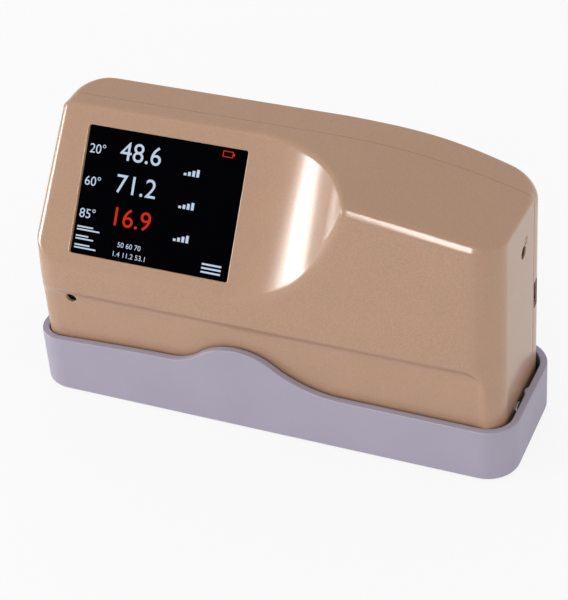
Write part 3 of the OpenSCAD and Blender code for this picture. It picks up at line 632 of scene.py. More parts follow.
        def plan(radius):
            out = np.maximum(np.abs(x) - self.half_x + radius, 0)
            return self.half_y - radius + np.sqrt(np.maximum(radius**2 - out**2, 0))

        def pair(y, z):
            return np.stack([np.broadcast_to(y, x.shape), np.broadcast_to(z, x.shape)], axis=-1)

        front, rear = -plan(s.front_radius), plan(s.rear_radius)
        low_front, low_rear = np.maximum(front, -self.low_y), np.minimum(rear, self.low_y)
        over = np.clip(x - s.waist_end + s.waist_radius, 0, WAIST_SHARE * s.waist_radius)
        waist = s.waist_z - s.waist_radius + np.sqrt(s.waist_radius**2 - over**2)
        hollow = np.clip(x - s.scoop_x, 0, HOLLOW_SHARE * s.scoop_radius)
        out = s.scoop_radius - np.sqrt(s.scoop_radius**2 - hollow**2)
        ridge = np.zeros_like(x)
        for _ in range(4):
            top = self.top_height(x, ridge)[0] - self.edge_drop(x, ridge)
            ridge = -self.half_y + ((top - s.face_z) * self.sin_t - out) / self.cos_t
            ridge = np.maximum(ridge, front)
        back = self.top_height(x, rear)[0] - self.edge_drop(x, rear)
        heel = s.face_z + (front + self.half_y) * self.cos_t / self.sin_t
        lift = HEEL_LIFT * np.clip((x - s.scoop_x) / HEEL_RUN, 0, 1)
        heel = np.minimum(heel, s.face_z + HEEL_RISE) + lift
        seam_a, seam_b = s.seam - s.seam_gap / 2, s.seam + s.seam_gap / 2
        foot = np.full_like(x, s.foot)
        return {
            "foot": pair(low_front, foot),
            "under": pair(low_front, waist - WAIST_UNDER),
            "waist": pair(front, waist),
            "over": pair(front, waist + WAIST_OVER),
            "heel": pair(front, heel),
            "ridge": pair(ridge, top),
            "seam_a": pair(seam_a, self.crown(x, seam_a)),
            "seam_b": pair(seam_b, self.crown(x, seam_b)),
            "back": pair(rear, back),
            "rear_over": pair(rear, waist + WAIST_OVER),
            "rear_waist": pair(rear, waist),
            "rear_under": pair(low_rear, waist - WAIST_UNDER),
            "rear_foot": pair(low_rear, foot),
        }

    def skin(self, x, guide, spans):
        """Skin points on a grid of stations x rays.

        Each ray runs from the middle of its section through a point on the chain of guide corners, and
        the skin lies where the field along the ray is zero, found by halving.
        """
        rays = [
            (1 - t) * guide[a][:, None, :] + t * guide[b][:, None, :]
            for a, b, share in spans
            for t in [np.asarray(share)[None, :, None]]
        ]
        aim = np.concatenate(rays, axis=1)
        origin = np.concatenate([x[:, None], np.tile(RAY_START, (len(x), 1))], axis=1)[:, None, :]
        ray = np.concatenate([np.zeros((*aim.shape[:2], 1)), aim - RAY_START], axis=2)

        def inside(share):
            return self.field(origin + share[..., None] * ray) < 0

        reached = halved(inside, np.zeros(aim.shape[:2]), np.full(aim.shape[:2], RAY_REACH))
        return origin + reached[..., None] * ray


def even(count):
    """Even shares of a span, without its end."""
    return np.linspace(0, 1, count + 1)[:count]


def eased(count, near, last=False):
    """Shares of a span that crowd towards its start, its end or both, with its end only in the last span."""
    t = np.linspace(0, 1, count + 1)
    bends = {"start": t**CROWDING, "end": 1 - (1 - t) ** CROWDING, "both": (1 - np.cos(math.pi * t)) / 2}
    return bends[near][: count + 1 if last else count]


FRONT_SPANS = [
    ("foot", "under", eased(10, "end")),
    ("under", "waist", even(20)),
    ("waist", "over", even(7)),
    ("over", "heel", eased(12, "both")),
    ("heel", "ridge", eased(84, "both")),
    ("ridge", "seam_a", eased(26, "start", True)),
]
REAR_SPANS = [
    ("seam_b", "back", eased(22, "end")),
    ("back", "rear_over", eased(30, "start")),
    ("rear_over", "rear_waist", even(7)),
    ("rear_waist", "rear_under", even(20)),
    ("rear_under", "rear_foot", eased(10, "start", True)),
]


def end_cap(rim, corner, seam_y):
    """Flat end of one shell, ruled between the rim's upright side and the seam.

    rim is the end section from its foot to the seam and corner the index where its upright side ends.
    Row b joins side point b to a seam point at the same share of the height. The last row is the rim's top.
    """
    side, top = rim[: corner + 1], rim[corner:]
    share = (side[:, 2] - side[0, 2]) / (side[-1, 2] - side[0, 2])
    seam = np.stack([
        np.full(len(side), rim[0, 0]),
        np.full(len(side), seam_y),
        side[0, 2] + share * (top[-1, 2] - side[0, 2]),
    ], axis=1)
    across = (top[:, 1] - top[0, 1]) / (top[-1, 1] - top[0, 1])
    cap = (1 - across)[None, :, None] * side[:, None, :] + across[None, :, None] * seam[:, None, :]
    cap[-1] = top
    return cap


def shell_mesh(name, form, spans, seam_y, corner_name, flip):
    """Outside of one shell: the lofted skin and its two flat ends, with the seam's lips turned in a little.

    flip is set for the shell whose spans run from the seam to the foot.
    """
    x = form.stations()
    skin = form.skin(x, form.guides(x), spans)
    names = [a for a, _, share in spans for _ in range(len(share))]
    corner, lip = names.index(corner_name), -1
    if flip:
        corner, lip = skin.shape[1] - 1 - corner, 0
    rims = [skin[end][::-1] if flip else skin[end] for end in (0, -1)]
    caps = [end_cap(rim, corner, seam_y) for rim in rims]
    tuck = form.s.seam_ease
    skin[:, lip] -= tuck * form.normal(skin[:, lip])
    for cap, rim, side in zip(caps, rims, (1, -1)):
        cap[:, -1, 0] += side * tuck
        cap[-1] = rim[corner:]
        cap[: corner + 1, 0] = rim[: corner + 1]
    points, quads = chained([skin, *caps])
    return mesh_from(name, form.lean(points), quads, SKIN_MERGE)


def finish_shell(piece, wall, cutters):
    """Gives a shell its wall, its openings and its shading."""
    thick = piece.modifiers.new("Wall", "SOLIDIFY")
    thick.thickness = wall
    thick.offset = -1
    thick.use_rim = True
    applied(piece)
    cut(piece, cutters)
    even_shading(piece, degrees=34, weight=60)


def placing(origin, u, v, inwards):
    """Map from an opening's own frame to the object: the origin plus each coordinate along its direction."""
    return lambda p: origin + p[:, :1] * u + p[:, 1:2] * v + p[:, 2:] * inwards


def face_place(form, screen):
    """Map from the window's own frame (right, up the slope, inwards) to the object."""
    s = form.s
    slope = (s.top - s.face_z) / form.cos_t
    up = np.array([0.0, form.sin_t, form.cos_t])
    inwards = np.array([0.0, form.cos_t, -form.sin_t])
    foot = np.array([screen.place, -form.half_y, s.face_z])
    return placing(foot + (slope / 2 - screen.drop) * up, RIGHT, up, inwards)


def end_place(form, side, y, z):
    """Map from an opening's own frame on a flat end (depth, height, inwards) to the object."""
    return placing(np.array([side * form.half_x, y, z]), side * BACK, UP, -side * RIGHT)


def front_place(form, x, z):
    """Map from an opening's own frame on the waist (right, up, inwards) to the object."""
    return placing(np.array([x, -form.low_y, z]), RIGHT, UP, BACK)


class OBJECT_OT_meter_front_shell(bpy.types.Operator):
    """Build the front shell with its screen window and small openings"""

    bl_idname = "object.meter_front_shell"
    bl_label = "Front shell"

    def execute(self, context):
        s, screen = context.scene.meter_housing, context.scene.meter_screen
        opening = context.scene.meter_openings
        form = HousingForm(s)
        seam = s.seam - s.seam_gap / 2
        mesh = shell_mesh("front_shell_skin", form, FRONT_SPANS, seam, "ridge", False)
        piece = add_piece("front_shell_skin", mesh, housing_paint(), "instrument", "housing", "front_shell")
        button, screw = (BUTTON_LOW + BUTTON_HIGH) / 2, (END_LOW + END_HIGH) / 2
        window = face_place(form, screen)
        cuts = [
            cutter(screen.width / 2, screen.height / 2, screen.corner, screen.flare, WINDOW_REACH, window),
            round_cutter(opening.button, opening.button_edge, end_place(form, 1, button.y, button.z)),
            round_cutter(opening.sound, opening.edge, front_place(form, opening.sound_x, opening.sound_z)),
        ]
        for side in (-1, 1):
            cuts.append(round_cutter(opening.screw, opening.edge, end_place(form, side, screw.y, screw.z)))
        finish_shell(piece, s.wall, cuts)
        return {"FINISHED"}


class OBJECT_OT_meter_rear_cover(bpy.types.Operator):
    """Build the rear cover with its charging slot"""

    bl_idname = "object.meter_rear_cover"
    bl_label = "Rear cover"

    def execute(self, context):
        s, opening = context.scene.meter_housing, context.scene.meter_openings
        form = HousingForm(s)
        seam = s.seam + s.seam_gap / 2
        mesh = shell_mesh("rear_cover_skin", form, REAR_SPANS, seam, "back", True)
        piece = add_piece("rear_cover_skin", mesh, housing_paint(), "instrument", "housing", "rear_cover")
        port = (SOCKET_LOW + SOCKET_HIGH) / 2
        slot = cutter(
            opening.slot_width / 2, opening.slot_height / 2, opening.slot_corner, opening.edge,
            SLOT_REACH, end_place(form, 1, port.y, port.z),
        )
        finish_shell(piece, s.wall, [slot])
        return {"FINISHED"}


# Holder

# Shares of the long sides between which points lie close, steps of a corner, and the bend of the falling rim
CREST_FROM, CREST_TO = -0.62, 0.55
CORNER_STEPS = 14
RIM_BEND = 1.3


def crest_height(x, s):
    """Height of the holder's long sides: rim, two foot arcs and the crest arc, each tangent to the next.

    Left of the crest the rim falls away towards the left end.
    """
    crown = s.crest - s.crest_radius
    height = np.full_like(x, s.rim)
    for side, foot, rise in ((-1, s.short_foot, s.rim_rise), (1, s.long_foot, 0.0)):
        level = s.rim + rise
        drop = level + foot - crown
        reach = math.sqrt((s.crest_radius + foot) ** 2 - drop**2)
        meet = reach * s.crest_radius / (s.crest_radius + foot)
        out = (x - s.crest_x) * side
        arc = crown + np.sqrt(np.maximum(s.crest_radius**2 - out**2, 0))
        hollow = level + foot - np.sqrt(np.maximum(foot**2 - (out - reach) ** 2, 0))
        fall = level - rise * np.clip((out - reach) / (s.crest_x - reach - s.left), 0, 1) ** RIM_BEND
        height = np.where((out >= 0) & (out < meet), arc, height)
        height = np.where((out >= meet) & (out < reach), hollow, height)
        height = np.where(out >= reach, fall, height)
    return height


def holder_surface(s):
    """The holder as one profile carried round its outline.

    Each loop is the outline moved inwards by d at a height z, from the middle of the underside out over the
    bottom edge, up the wall to the crest height, over the rim, down to the floor and into the tile's seat.
    """
    half_x, half_y, shift = (s.right - s.left) / 2, TRAY_HIGH.y, (s.right + s.left) / 2
    side_x = steps((-1, CREST_FROM, 7), (CREST_FROM, CREST_TO, 95), (CREST_TO, 1, 8))
    side_y = np.linspace(-1, 1, 61)

    def outline(size_x, size_y, front, rear):
        return rounded_outline(size_x, size_y, front, rear, side_x, side_y, CORNER_STEPS)

    def ring(d):
        line = outline(half_x - d, half_y - d, s.corner - d, s.rear_corner - d)
        rib = s.rib * ease(1 - np.abs(line[:, 1]) / s.rib_width) * ease(d / s.wall)
        line[:, 0] += shift - np.where(line[:, 0] > half_x - d - 1e-9, rib, 0.0)
        return line

    outer = ring(0.0)
    flat = np.ones(len(outer))

    def loop(d, z):
        return np.column_stack([ring(d), z * flat])

    slant = s.rim_side * (outer[:, 0] - shift) / (2 * half_x) + s.rim_back * (outer[:, 1] / half_y + 1) / 2
    wall_top = crest_height(outer[:, 0], s) - slant - s.rim_round
    curve = np.linspace(0, math.pi / 2, 6)
    base, rim, fillet = s.base_round, s.rim_round, s.floor_round
    spine = np.column_stack([np.clip(outer[:, 0], -half_x + half_y, half_x - half_y), 0 * flat, 0 * flat])
    loops = [spine]
    loops += [loop(base * (1 - math.sin(t)), base * (1 - math.cos(t))) for t in curve]
    loops += [loop(0.0, base + share * (wall_top - base)) for share in (0.33, 0.67)]
    loops += [loop(rim * (1 - math.cos(t)), wall_top + rim * math.sin(t)) for t in curve]
    loops += [loop(s.wall - rim * (1 - math.sin(t)), wall_top + rim * math.cos(t)) for t in curve]
    loops.append(loop(s.wall, (s.floor + fillet + wall_top) / 2))
    loops += [loop(s.wall + fillet * (1 - math.cos(t)), s.floor + fillet * (1 - math.sin(t))) for t in curve]
    tile = (TILE_LOW + TILE_HIGH) / 2
    tile_x, tile_y = (TILE_HIGH.x - TILE_LOW.x) / 2, (TILE_HIGH.y - TILE_LOW.y) / 2
    sunk = s.floor - s.seat_depth
    for grow, z in ((s.seat_lead, s.floor), (0.0, s.floor - s.seat_lead), (0.0, sunk)):
        gap = s.seat_gap + grow
        seat = outline(tile_x + gap, tile_y + gap, s.seat_corner + gap, s.seat_corner + gap)
        loops.append(np.column_stack([seat + [tile.x, tile.y], z * flat]))
    across = np.clip(loops[-1][:, 0] - tile.x, tile_y - tile_x, tile_x - tile_y)
    loops.append(np.column_stack([tile.x + across, tile.y * flat, sunk * flat]))
    return np.array(loops)


class OBJECT_OT_meter_holder(bpy.types.Operator):
    """Build the calibration holder with its crested walls and the seat of the tile"""

    bl_idname = "object.meter_holder"
    bl_label = "Holder"

    def execute(self, context):
        surface = holder_surface(context.scene.meter_holder)
        mesh = mesh_from("holder_skin", surface.reshape(-1, 3), grid_faces(*surface.shape[:2], closed=True))
        piece = add_piece("holder_skin", mesh, holder_plastic(), "holder", "holder", "holder_tray")
        even_shading(piece, degrees=40, weight=50)
        return {"FINISHED"}


# Screen

# Figures: height of a capital as a share of the font size, half their thickness, and their lift off the glass
CAPITAL = 0.72
FIGURE_HALF = 0.006 * MM
FIGURE_LIFT = 0.012 * MM

# Layout of the readout in millimetres from the window's upper left corner, each place (right, down)
READINGS = ((9.2, "20°", "48.6", "pale"), (20.1, "60°", "71.2", "pale"), (31.0, "85°", "16.9", "red"))
LABEL_LEFT = 0.9
READING_LEFT, READING_DROP = 12.2, 0.7
LEVEL_LEFT, LEVEL_DROP, LEVEL_PITCH, LEVEL_WIDTH, LEVEL_FOOT, LEVEL_RISE = 36.0, 2.1, 1.5, 1.0, 0.8, 0.55
LEVEL_COUNT = 4
TEXT_BARS = ((35.3, 8.4), (38.4, 6.6), (41.4, 8.0))
TEXT_LEFT, TEXT_THICK, TEXT_PITCH, TEXT_SHORT = 1.0, 0.5, 0.95, 0.7
SMALL_TEXTS = (("50 60 70", 16.5, 38.6), ("1.4 11.2 53.1", 15.0, 41.8))
MENU_LEFT, MENU_DROP, MENU_PITCH, MENU_WIDTH, MENU_THICK, MENU_COUNT = 47.5, 41.6, 1.3, 7.0, 0.6, 3
BATTERY_BARS = (
    (48.5, 3.2, 3.6, 0.28), (48.5, 1.4, 3.6, 0.28), (48.5, 3.2, 0.28, 2.08),
    (51.9, 3.2, 0.28, 2.08), (52.2, 2.6, 0.5, 0.9),
)


def flat_figures(text, height):
    """Outline figures as points (u, v) and faces, made from a text object and given in metres."""
    curve = bpy.data.curves.new("figures", "FONT")
    curve.body = text
    curve.size = height / CAPITAL
    curve.resolution_u = 6
    curve.extrude = FIGURE_HALF
    writing = bpy.data.objects.new("figures", curve)
    bpy.context.scene.collection.objects.link(writing)
    graph = bpy.context.evaluated_depsgraph_get()
    mesh = bpy.data.meshes.new_from_object(writing.evaluated_get(graph))
    points = np.zeros(len(mesh.vertices) * 3, np.float32)
    mesh.vertices.foreach_get("co", points)
    faces = [list(p.vertices) for p in mesh.polygons]
    bpy.data.objects.remove(writing)
    bpy.data.curves.remove(curve)
    bpy.data.meshes.remove(mesh)
    return points.reshape(-1, 3).astype(float), faces


def bar(u, v, width, height):
    """A thin flat bar as points and faces."""
    x, y = np.array([0, width, width, 0]), np.array([0, 0, height, height])
    levels = (-FIGURE_HALF, FIGURE_HALF)
    points = np.concatenate([np.column_stack([u + x, v + y, np.full(4, z)]) for z in levels])
    faces = [[3, 2, 1, 0], [4, 5, 6, 7], [0, 1, 5, 4], [1, 2, 6, 5], [2, 3, 7, 6], [3, 0, 4, 7]]
    return points, faces


class OBJECT_OT_meter_readout(bpy.types.Operator):
    """Put the figures, bars and battery mark of the display on the glass"""

    bl_idname = "object.meter_readout"
    bl_label = "Readout"

    def execute(self, context):
        form, screen = HousingForm(context.scene.meter_housing), context.scene.meter_screen
        place = face_place(form, screen)
        left, top = -screen.width / 2, screen.height / 2
        shapes = {"pale": [], "red": []}

        def write(tone, text, u, v, height):
            points, faces = flat_figures(text, height)
            shapes[tone].append((points + [left + u * MM, top - v * MM, 0.0], faces))

        def block(tone, u, v, width, height):
            shapes[tone].append(bar(left + u * MM, top - v * MM, width * MM, height * MM))

        for v, label, reading, tone in READINGS:
            write("pale", label, LABEL_LEFT, v, screen.label)
            write(tone, reading, READING_LEFT, v + READING_DROP, screen.reading)
            for n in range(LEVEL_COUNT):
                tall = LEVEL_FOOT + LEVEL_RISE * n
                block("pale", LEVEL_LEFT + LEVEL_PITCH * n, v + LEVEL_DROP, LEVEL_WIDTH, tall)
        for v, width in TEXT_BARS:
            block("pale", TEXT_LEFT, v, width, TEXT_THICK)
            block("pale", TEXT_LEFT, v - TEXT_PITCH, width * TEXT_SHORT, TEXT_THICK)
        for text, u, v in SMALL_TEXTS:
            write("pale", text, u, v, screen.small)
        for n in range(MENU_COUNT):
            block("pale", MENU_LEFT, MENU_DROP - MENU_PITCH * n, MENU_WIDTH, MENU_THICK)
        for u, v, width, height in BATTERY_BARS:
            block("red", u, v, width, height)
        for name, tone, which in (("readout_pale", "pale", "figures"), ("readout_red", "red", "alert")):
            points, faces, start = [], [], 0
            for shape, sides in shapes[tone]:
                points.append(shape)
                faces += [[start + k for k in side] for side in sides]
                start += len(shape)
            flat = np.concatenate(points)
            flat[:, 2] = screen.recess - FIGURE_LIFT - flat[:, 2]
            mesh = bpy.data.meshes.new(name)
            mesh.from_pydata(place(flat).tolist(), [], faces)
            clean(mesh, FIGURE_MERGE)
            add_piece(name, mesh, figure_glow(name, which), "instrument", "screen")
        return {"FINISHED"}


# Button and screws

# Share of a screw head's radius that its top takes up
HEAD_TOP = 0.88

# Power mark: ends of its open ring in degrees, points along it, and ends of its bar as shares of the mark
RING_FROM, RING_TO, RING_POINTS = 125, 415, 41
MARK_BAR = np.array([0.15, 0.65])


def turned(profile, count=96):
    """Surface of a profile of (radius, height) pairs turned round its axis, as rows x count points."""
    turn = np.linspace(0, 2 * math.pi, count, endpoint=False)
    rows = np.asarray(profile)
    radius, height = rows[:, :1], rows[:, 1:]
    return np.stack([radius * np.cos(turn), radius * np.sin(turn), height + 0 * turn], axis=-1)


def screw_surface(s, rim, crown):
    """A screw as a turned profile whose head has a cross recess.

    The head's top is height 0 at its middle and falls by the crown at its edge, and rim gives the rest of
    the profile. The recess sinks the top where the smaller of |u| and |v| is under half an arm's width and
    the larger is under an arm's reach, with sloping walls.
    """
    half = s.head / 2
    r = np.linspace(0, HEAD_TOP * half, 26)
    top = np.column_stack([r, -crown * (r / half) ** 2])
    surface = turned(np.concatenate([top, rim]))
    u, v = np.abs(surface[: len(r), :, 0]), np.abs(surface[: len(r), :, 1])
    edge = np.maximum(np.minimum(u, v) - s.arm / 2, np.maximum(u, v) - s.cross / 2)
    surface[: len(r), :, 2] -= s.recess * np.clip(-edge / s.slope, 0, 1)
    return surface


def joined(name, surfaces):
    """One mesh of several closed surfaces."""
    return mesh_from(name, *chained(surfaces, closed=True))


class OBJECT_OT_meter_screws(bpy.types.Operator):
    """Build the end screws and the countersunk base screws with their cross recesses"""

    bl_idname = "object.meter_screws"
    bl_label = "Screws"

    def execute(self, context):
        s = context.scene.meter_small
        half, shank, tip = s.head / 2, s.shank / 2, -s.screw_length
        dome, brim, t = 0.35 * MM, 0.25 * MM, np.linspace(0, math.pi / 2, 6)
        pan = np.concatenate([
            np.column_stack([half - brim + brim * np.sin(t), -dome - brim + brim * np.cos(t)]),
            [[half, -s.head_height], [shank, -s.head_height], [shank, tip], [0, tip]],
        ])
        sunk = np.array([[half, 0], [shank, -s.head_height], [shank, tip], [0, tip]])
        middle = (END_LOW + END_HIGH) / 2
        ends = []
        for x, turn in ((-END_HIGH.x, TURN_LEFT), (END_HIGH.x, TURN_RIGHT)):
            place = np.array([x, middle.y, middle.z])
            ends.append(place + screw_surface(s, pan, dome) @ turn)
        under = []
        for corner_x in (BASE_LOW.x + half, BASE_HIGH.x - half):
            for corner_y in (BASE_LOW.y + half, BASE_HIGH.y - half):
                place = np.array([corner_x, corner_y, BASE_LOW.z])
                under.append(place + screw_surface(s, sunk, 0.0) @ TURN_DOWN)
        steel = steel_finish()
        groups = (("end_screw_heads", ends, "end_screws"), ("base_screw_heads", under, "base_screws"))
        for name, shapes, node in groups:
            mesh = joined(name, shapes)
            smooth(mesh, 30)
            add_piece(name, mesh, steel, "instrument", "steel", node)
        return {"FINISHED"}


class OBJECT_OT_meter_button(bpy.types.Operator):
    """Build the power button with its dished face and the mark above it"""

    bl_idname = "object.meter_button"
    bl_label = "Power button"

    def execute(self, context):
        s = context.scene.meter_small
        middle = (BUTTON_LOW + BUTTON_HIGH) / 2
        tall, flange = BUTTON_HIGH.x - BUTTON_LOW.x, (BUTTON_HIGH.y - BUTTON_LOW.y) / 2
        half, brim, t = s.button / 2, 0.45 * MM, np.linspace(0, math.pi / 2, 8)
        r = np.linspace(0, half - brim, 14)
        stem, seat = 1.2 * MM, 2 * MM
        profile = np.concatenate([
            np.column_stack([r, tall - s.dish * (1 - (r / r[-1]) ** 2)]),
            np.column_stack([half - brim + brim * np.sin(t), tall - brim + brim * np.cos(t)])[1:],
            [[half, seat + MM], [flange, seat + MM], [flange, seat], [stem, seat], [stem, 0], [0, 0]],
        ])
        place = np.array([BUTTON_LOW.x, middle.y, middle.z])
        mesh = joined("power_button_cap", [place + turned(profile) @ TURN_RIGHT])
        smooth(mesh, 32)
        add_piece("power_button_cap", mesh, black_finish(), "power_key", "button", "power_button")
        self.mark(s, middle)
        return {"FINISHED"}

    def mark(self, s, middle):
        """Power mark: a flat strip bent to an open ring, and a short upright bar in its gap."""
        thick, half = 0.02 * MM, s.mark_line / 2
        section = np.array([[-half, -thick], [half, -thick], [half, thick], [-half, thick]])
        turn = np.radians(np.linspace(RING_FROM, RING_TO, RING_POINTS))[:, None]
        radius, height = s.mark / 2 + section[None, :, 0], np.tile(section[:, 1], (RING_POINTS, 1))
        ring = np.stack([radius * np.cos(turn), radius * np.sin(turn), height], axis=-1)
        along = MARK_BAR[:, None] * s.mark
        upright = np.stack(np.broadcast_arrays(section[None, :, 0], along, section[None, :, 1]), axis=-1)
        place = np.array([SHELL_HIGH.x, middle.y + s.mark_y, middle.z + s.mark_z])
        shapes = []
        for strip in (ring, upright):
            first, last = strip[:1].mean(axis=1, keepdims=True), strip[-1:].mean(axis=1, keepdims=True)
            strip = np.concatenate([np.repeat(first, 4, axis=1), strip, np.repeat(last, 4, axis=1)])
            shapes.append(place + strip @ TURN_RIGHT)
        add_piece("power_mark", joined("power_mark", shapes), mark_finish(), "instrument", "button")


# Finishes

# Sockets of the colour mix: its two colours and its result
MIX_A, MIX_B, MIX_RESULT = 6, 7, 2

# Depth of the paint's and the plastics' grain in metres
PAINT_GRAIN = 0.00003
PLASTIC_GRAIN = 0.00004


def set_inputs(tree, node, inputs):
    """Sets a node's inputs, linking those that are given as sockets."""
    for key, value in inputs.items():
        if isinstance(value, bpy.types.NodeSocket):
            tree.links.new(value, node.inputs[key])
        else:
            node.inputs[key].default_value = value


def node_maker(tree):
    """A function that adds a node to a tree with its inputs and settings."""

    def add(kind, inputs=(), **settings):
        node = tree.nodes.new(kind)
        for key, value in settings.items():
            setattr(node, key, value)
        set_inputs(tree, node, dict(inputs))
        return node

    return add


def new_finish(name):
    """A node material, its shader and what adds nodes to it, or only the material if it is there already."""
    material = bpy.data.materials.get(name)
    if material is not None:
        return material, None, None
    material = bpy.data.materials.new(name)
    material.use_nodes = True
    return material, material.node_tree.nodes["Principled BSDF"], node_maker(material.node_tree)


def set_shader(material, shader, **values):
    """Sets sockets of the shader by name, with _ for a space."""
    set_inputs(material.node_tree, shader, {key.replace("_", " "): value for key, value in values.items()})


def tint(base, factor):
    """A colour scaled and given an alpha."""
    return (*[min(1.0, c * factor) for c in base], 1.0)


def ramp(add, factor, *stops):
    """A colour ramp over a factor, from (place, colour) stops."""
    node = add("ShaderNodeValToRGB", {"Fac": factor})
    line = node.color_ramp
    while len(line.elements) < len(stops):
        line.elements.new(0.5)
    for element, (place, shade) in zip(line.elements, stops):
        element.position = place
        element.color = shade
    return node.outputs["Color"]


def noise(add, scale, detail=2.0):
    """Noise on the object's own coordinates."""
    where = add("ShaderNodeTexCoord").outputs["Object"]
    node = add("ShaderNodeTexNoise", {"Vector": where, "Scale": scale, "Detail": detail})
    return node.outputs["Fac"]


def grain(add, height, strength, distance):
    """A bump from a height."""
    node = add("ShaderNodeBump", {"Height": height, "Strength": strength, "Distance": distance})
    return node.outputs["Normal"]


def spread(add, value, low, high):
    """A number from 0 to 1 mapped to a range."""
    node = add("ShaderNodeMapRange", {"Value": value, "To Min": low, "To Max": high})
    return node.outputs["Result"]


def housing_paint():
    """Champagne paint: fine flakes in colour and grain under a clear coat that gives all its gloss."""
    material, shader, add = new_finish("housing_paint")
    if shader is None:
        return material
    base = bpy.context.scene.meter_finish.housing
    flake = noise(add, 5200.0, 1.0)
    drift = noise(add, 60.0, 3.0)
    flakes = ramp(add, flake, (0.30, tint(base, 0.86)), (0.5, tint(base, 1.0)), (0.72, tint(base, 1.16)))
    shade = ramp(add, drift, (0.3, (0.97, 0.97, 0.97, 1.0)), (0.7, (1.0, 1.0, 1.0, 1.0)))
    colours = {"Factor": 1.0, MIX_A: flakes, MIX_B: shade}
    mixed = add("ShaderNodeMix", colours, data_type="RGBA", blend_type="MULTIPLY")
    set_shader(
        material, shader,
        Base_Color=mixed.outputs[MIX_RESULT],
        Roughness=spread(add, flake, 0.46, 0.56),
        Normal=grain(add, flake, 0.08, PAINT_GRAIN),
        Coat_Weight=1.0,
        Coat_Roughness=0.17,
        Specular_IOR_Level=0.0,
    )
    return material


def holder_plastic():
    """Satin lavender-grey plastic with a fine spark-eroded grain."""
    material, shader, add = new_finish("holder_plastic")
    if shader is None:
        return material
    base = bpy.context.scene.meter_finish.holder
    fine = noise(add, 3200.0, 2.0)
    drift = noise(add, 35.0, 3.0)
    set_shader(
        material, shader,
        Base_Color=ramp(add, drift, (0.3, tint(base, 0.96)), (0.7, tint(base, 1.03))),
        Roughness=spread(add, fine, 0.42, 0.54),
        Normal=grain(add, fine, 0.16, PLASTIC_GRAIN),
    )
    return material


def screen_dark():
    """Dark polished glass with faint smears."""
    material, shader, add = new_finish("screen_dark")
    if shader is None:
        return material
    base = bpy.context.scene.meter_finish.glass
    smear = noise(add, 140.0, 4.0)
    set_shader(
        material, shader,
        Base_Color=ramp(add, smear, (0.3, tint(base, 0.8)), (0.7, tint(base, 1.2))),
        Roughness=spread(add, smear, 0.04, 0.09),
        Specular_IOR_Level=0.01,
    )
    return material


def figure_glow(name, which):
    """Lit figures of the display, softly uneven like backlit cells."""
    material, shader, add = new_finish(name)
    if shader is None:
        return material
    base = getattr(bpy.context.scene.meter_finish, which)
    cell = noise(add, 2400.0, 1.0)
    lit = ramp(add, cell, (0.3, tint(base, 0.92)), (0.7, tint(base, 1.06)))
    dark = ramp(add, cell, (0.3, tint(base, 0.03)), (0.7, tint(base, 0.05)))
    set_shader(
        material, shader,
        Base_Color=dark, Roughness=spread(add, cell, 0.18, 0.26), Specular_IOR_Level=0.04,
        Emission_Color=lit, Emission_Strength=1.0,
    )
    return material


def plain_finish(name, base, scale, rough, metallic=0.0, bump=0.08, vary=0.06, **sockets):
    """A finish with a fine grain in its colour, gloss and surface."""
    material, shader, add = new_finish(name)
    if shader is None:
        return material
    fine = noise(add, scale, 3.0)
    set_shader(
        material, shader,
        Base_Color=ramp(add, fine, (0.3, tint(base, 1 - vary)), (0.7, tint(base, 1 + vary))),
        Roughness=spread(add, fine, rough[0], rough[1]),
        Metallic=metallic,
        Normal=grain(add, fine, bump, PLASTIC_GRAIN),
        **sockets,
    )
    return material


def steel_finish():
    """Bright turned steel."""
    return plain_finish("turned_steel", bpy.context.scene.meter_finish.steel, 2600.0, (0.18, 0.3), 1.0)


def black_finish():
    """Black moulded plastic."""
    base = bpy.context.scene.meter_finish.key
    return plain_finish("black_plastic", base, 3000.0, (0.5, 0.62), Specular_IOR_Level=0.15)


def mark_finish():
    """Grey printing ink."""
    return plain_finish("printed_mark", bpy.context.scene.meter_finish.mark, 3400.0, (0.5, 0.62))


def board_mask():
    """Green solder mask with faint copper runs under it."""
    material, shader, add = new_finish("board_mask")
    if shader is None:
        return material
    where = add("ShaderNodeTexCoord").outputs["Object"]
    runs = add("ShaderNodeTexBrick", {
        "Vector": where, "Scale": 420.0, "Mortar Size": 0.03, "Color1": (0.012, 0.085, 0.04, 1.0),
        "Color2": (0.015, 0.105, 0.05, 1.0), "Mortar": (0.03, 0.17, 0.08, 1.0),
    })
    fine = noise(add, 900.0)
    set_shader(material, shader, Base_Color=runs.outputs["Color"], Roughness=spread(add, fine, 0.3, 0.45))
    return material


def clear_finish(name, base, rough, ior):
    """Clear cast or ground glass with faint streaks in its gloss."""
    material, shader, add = new_finish(name)
    if shader is None:
        return material
    fine = noise(add, 500.0)
    set_shader(
        material, shader,
        Base_Color=ramp(add, fine, (0.3, tint(base, 0.97)), (0.7, tint(base, 1.0))),
        Roughness=spread(add, fine, rough[0], rough[1]), IOR=ior, Transmission_Weight=0.9,
    )
    return material


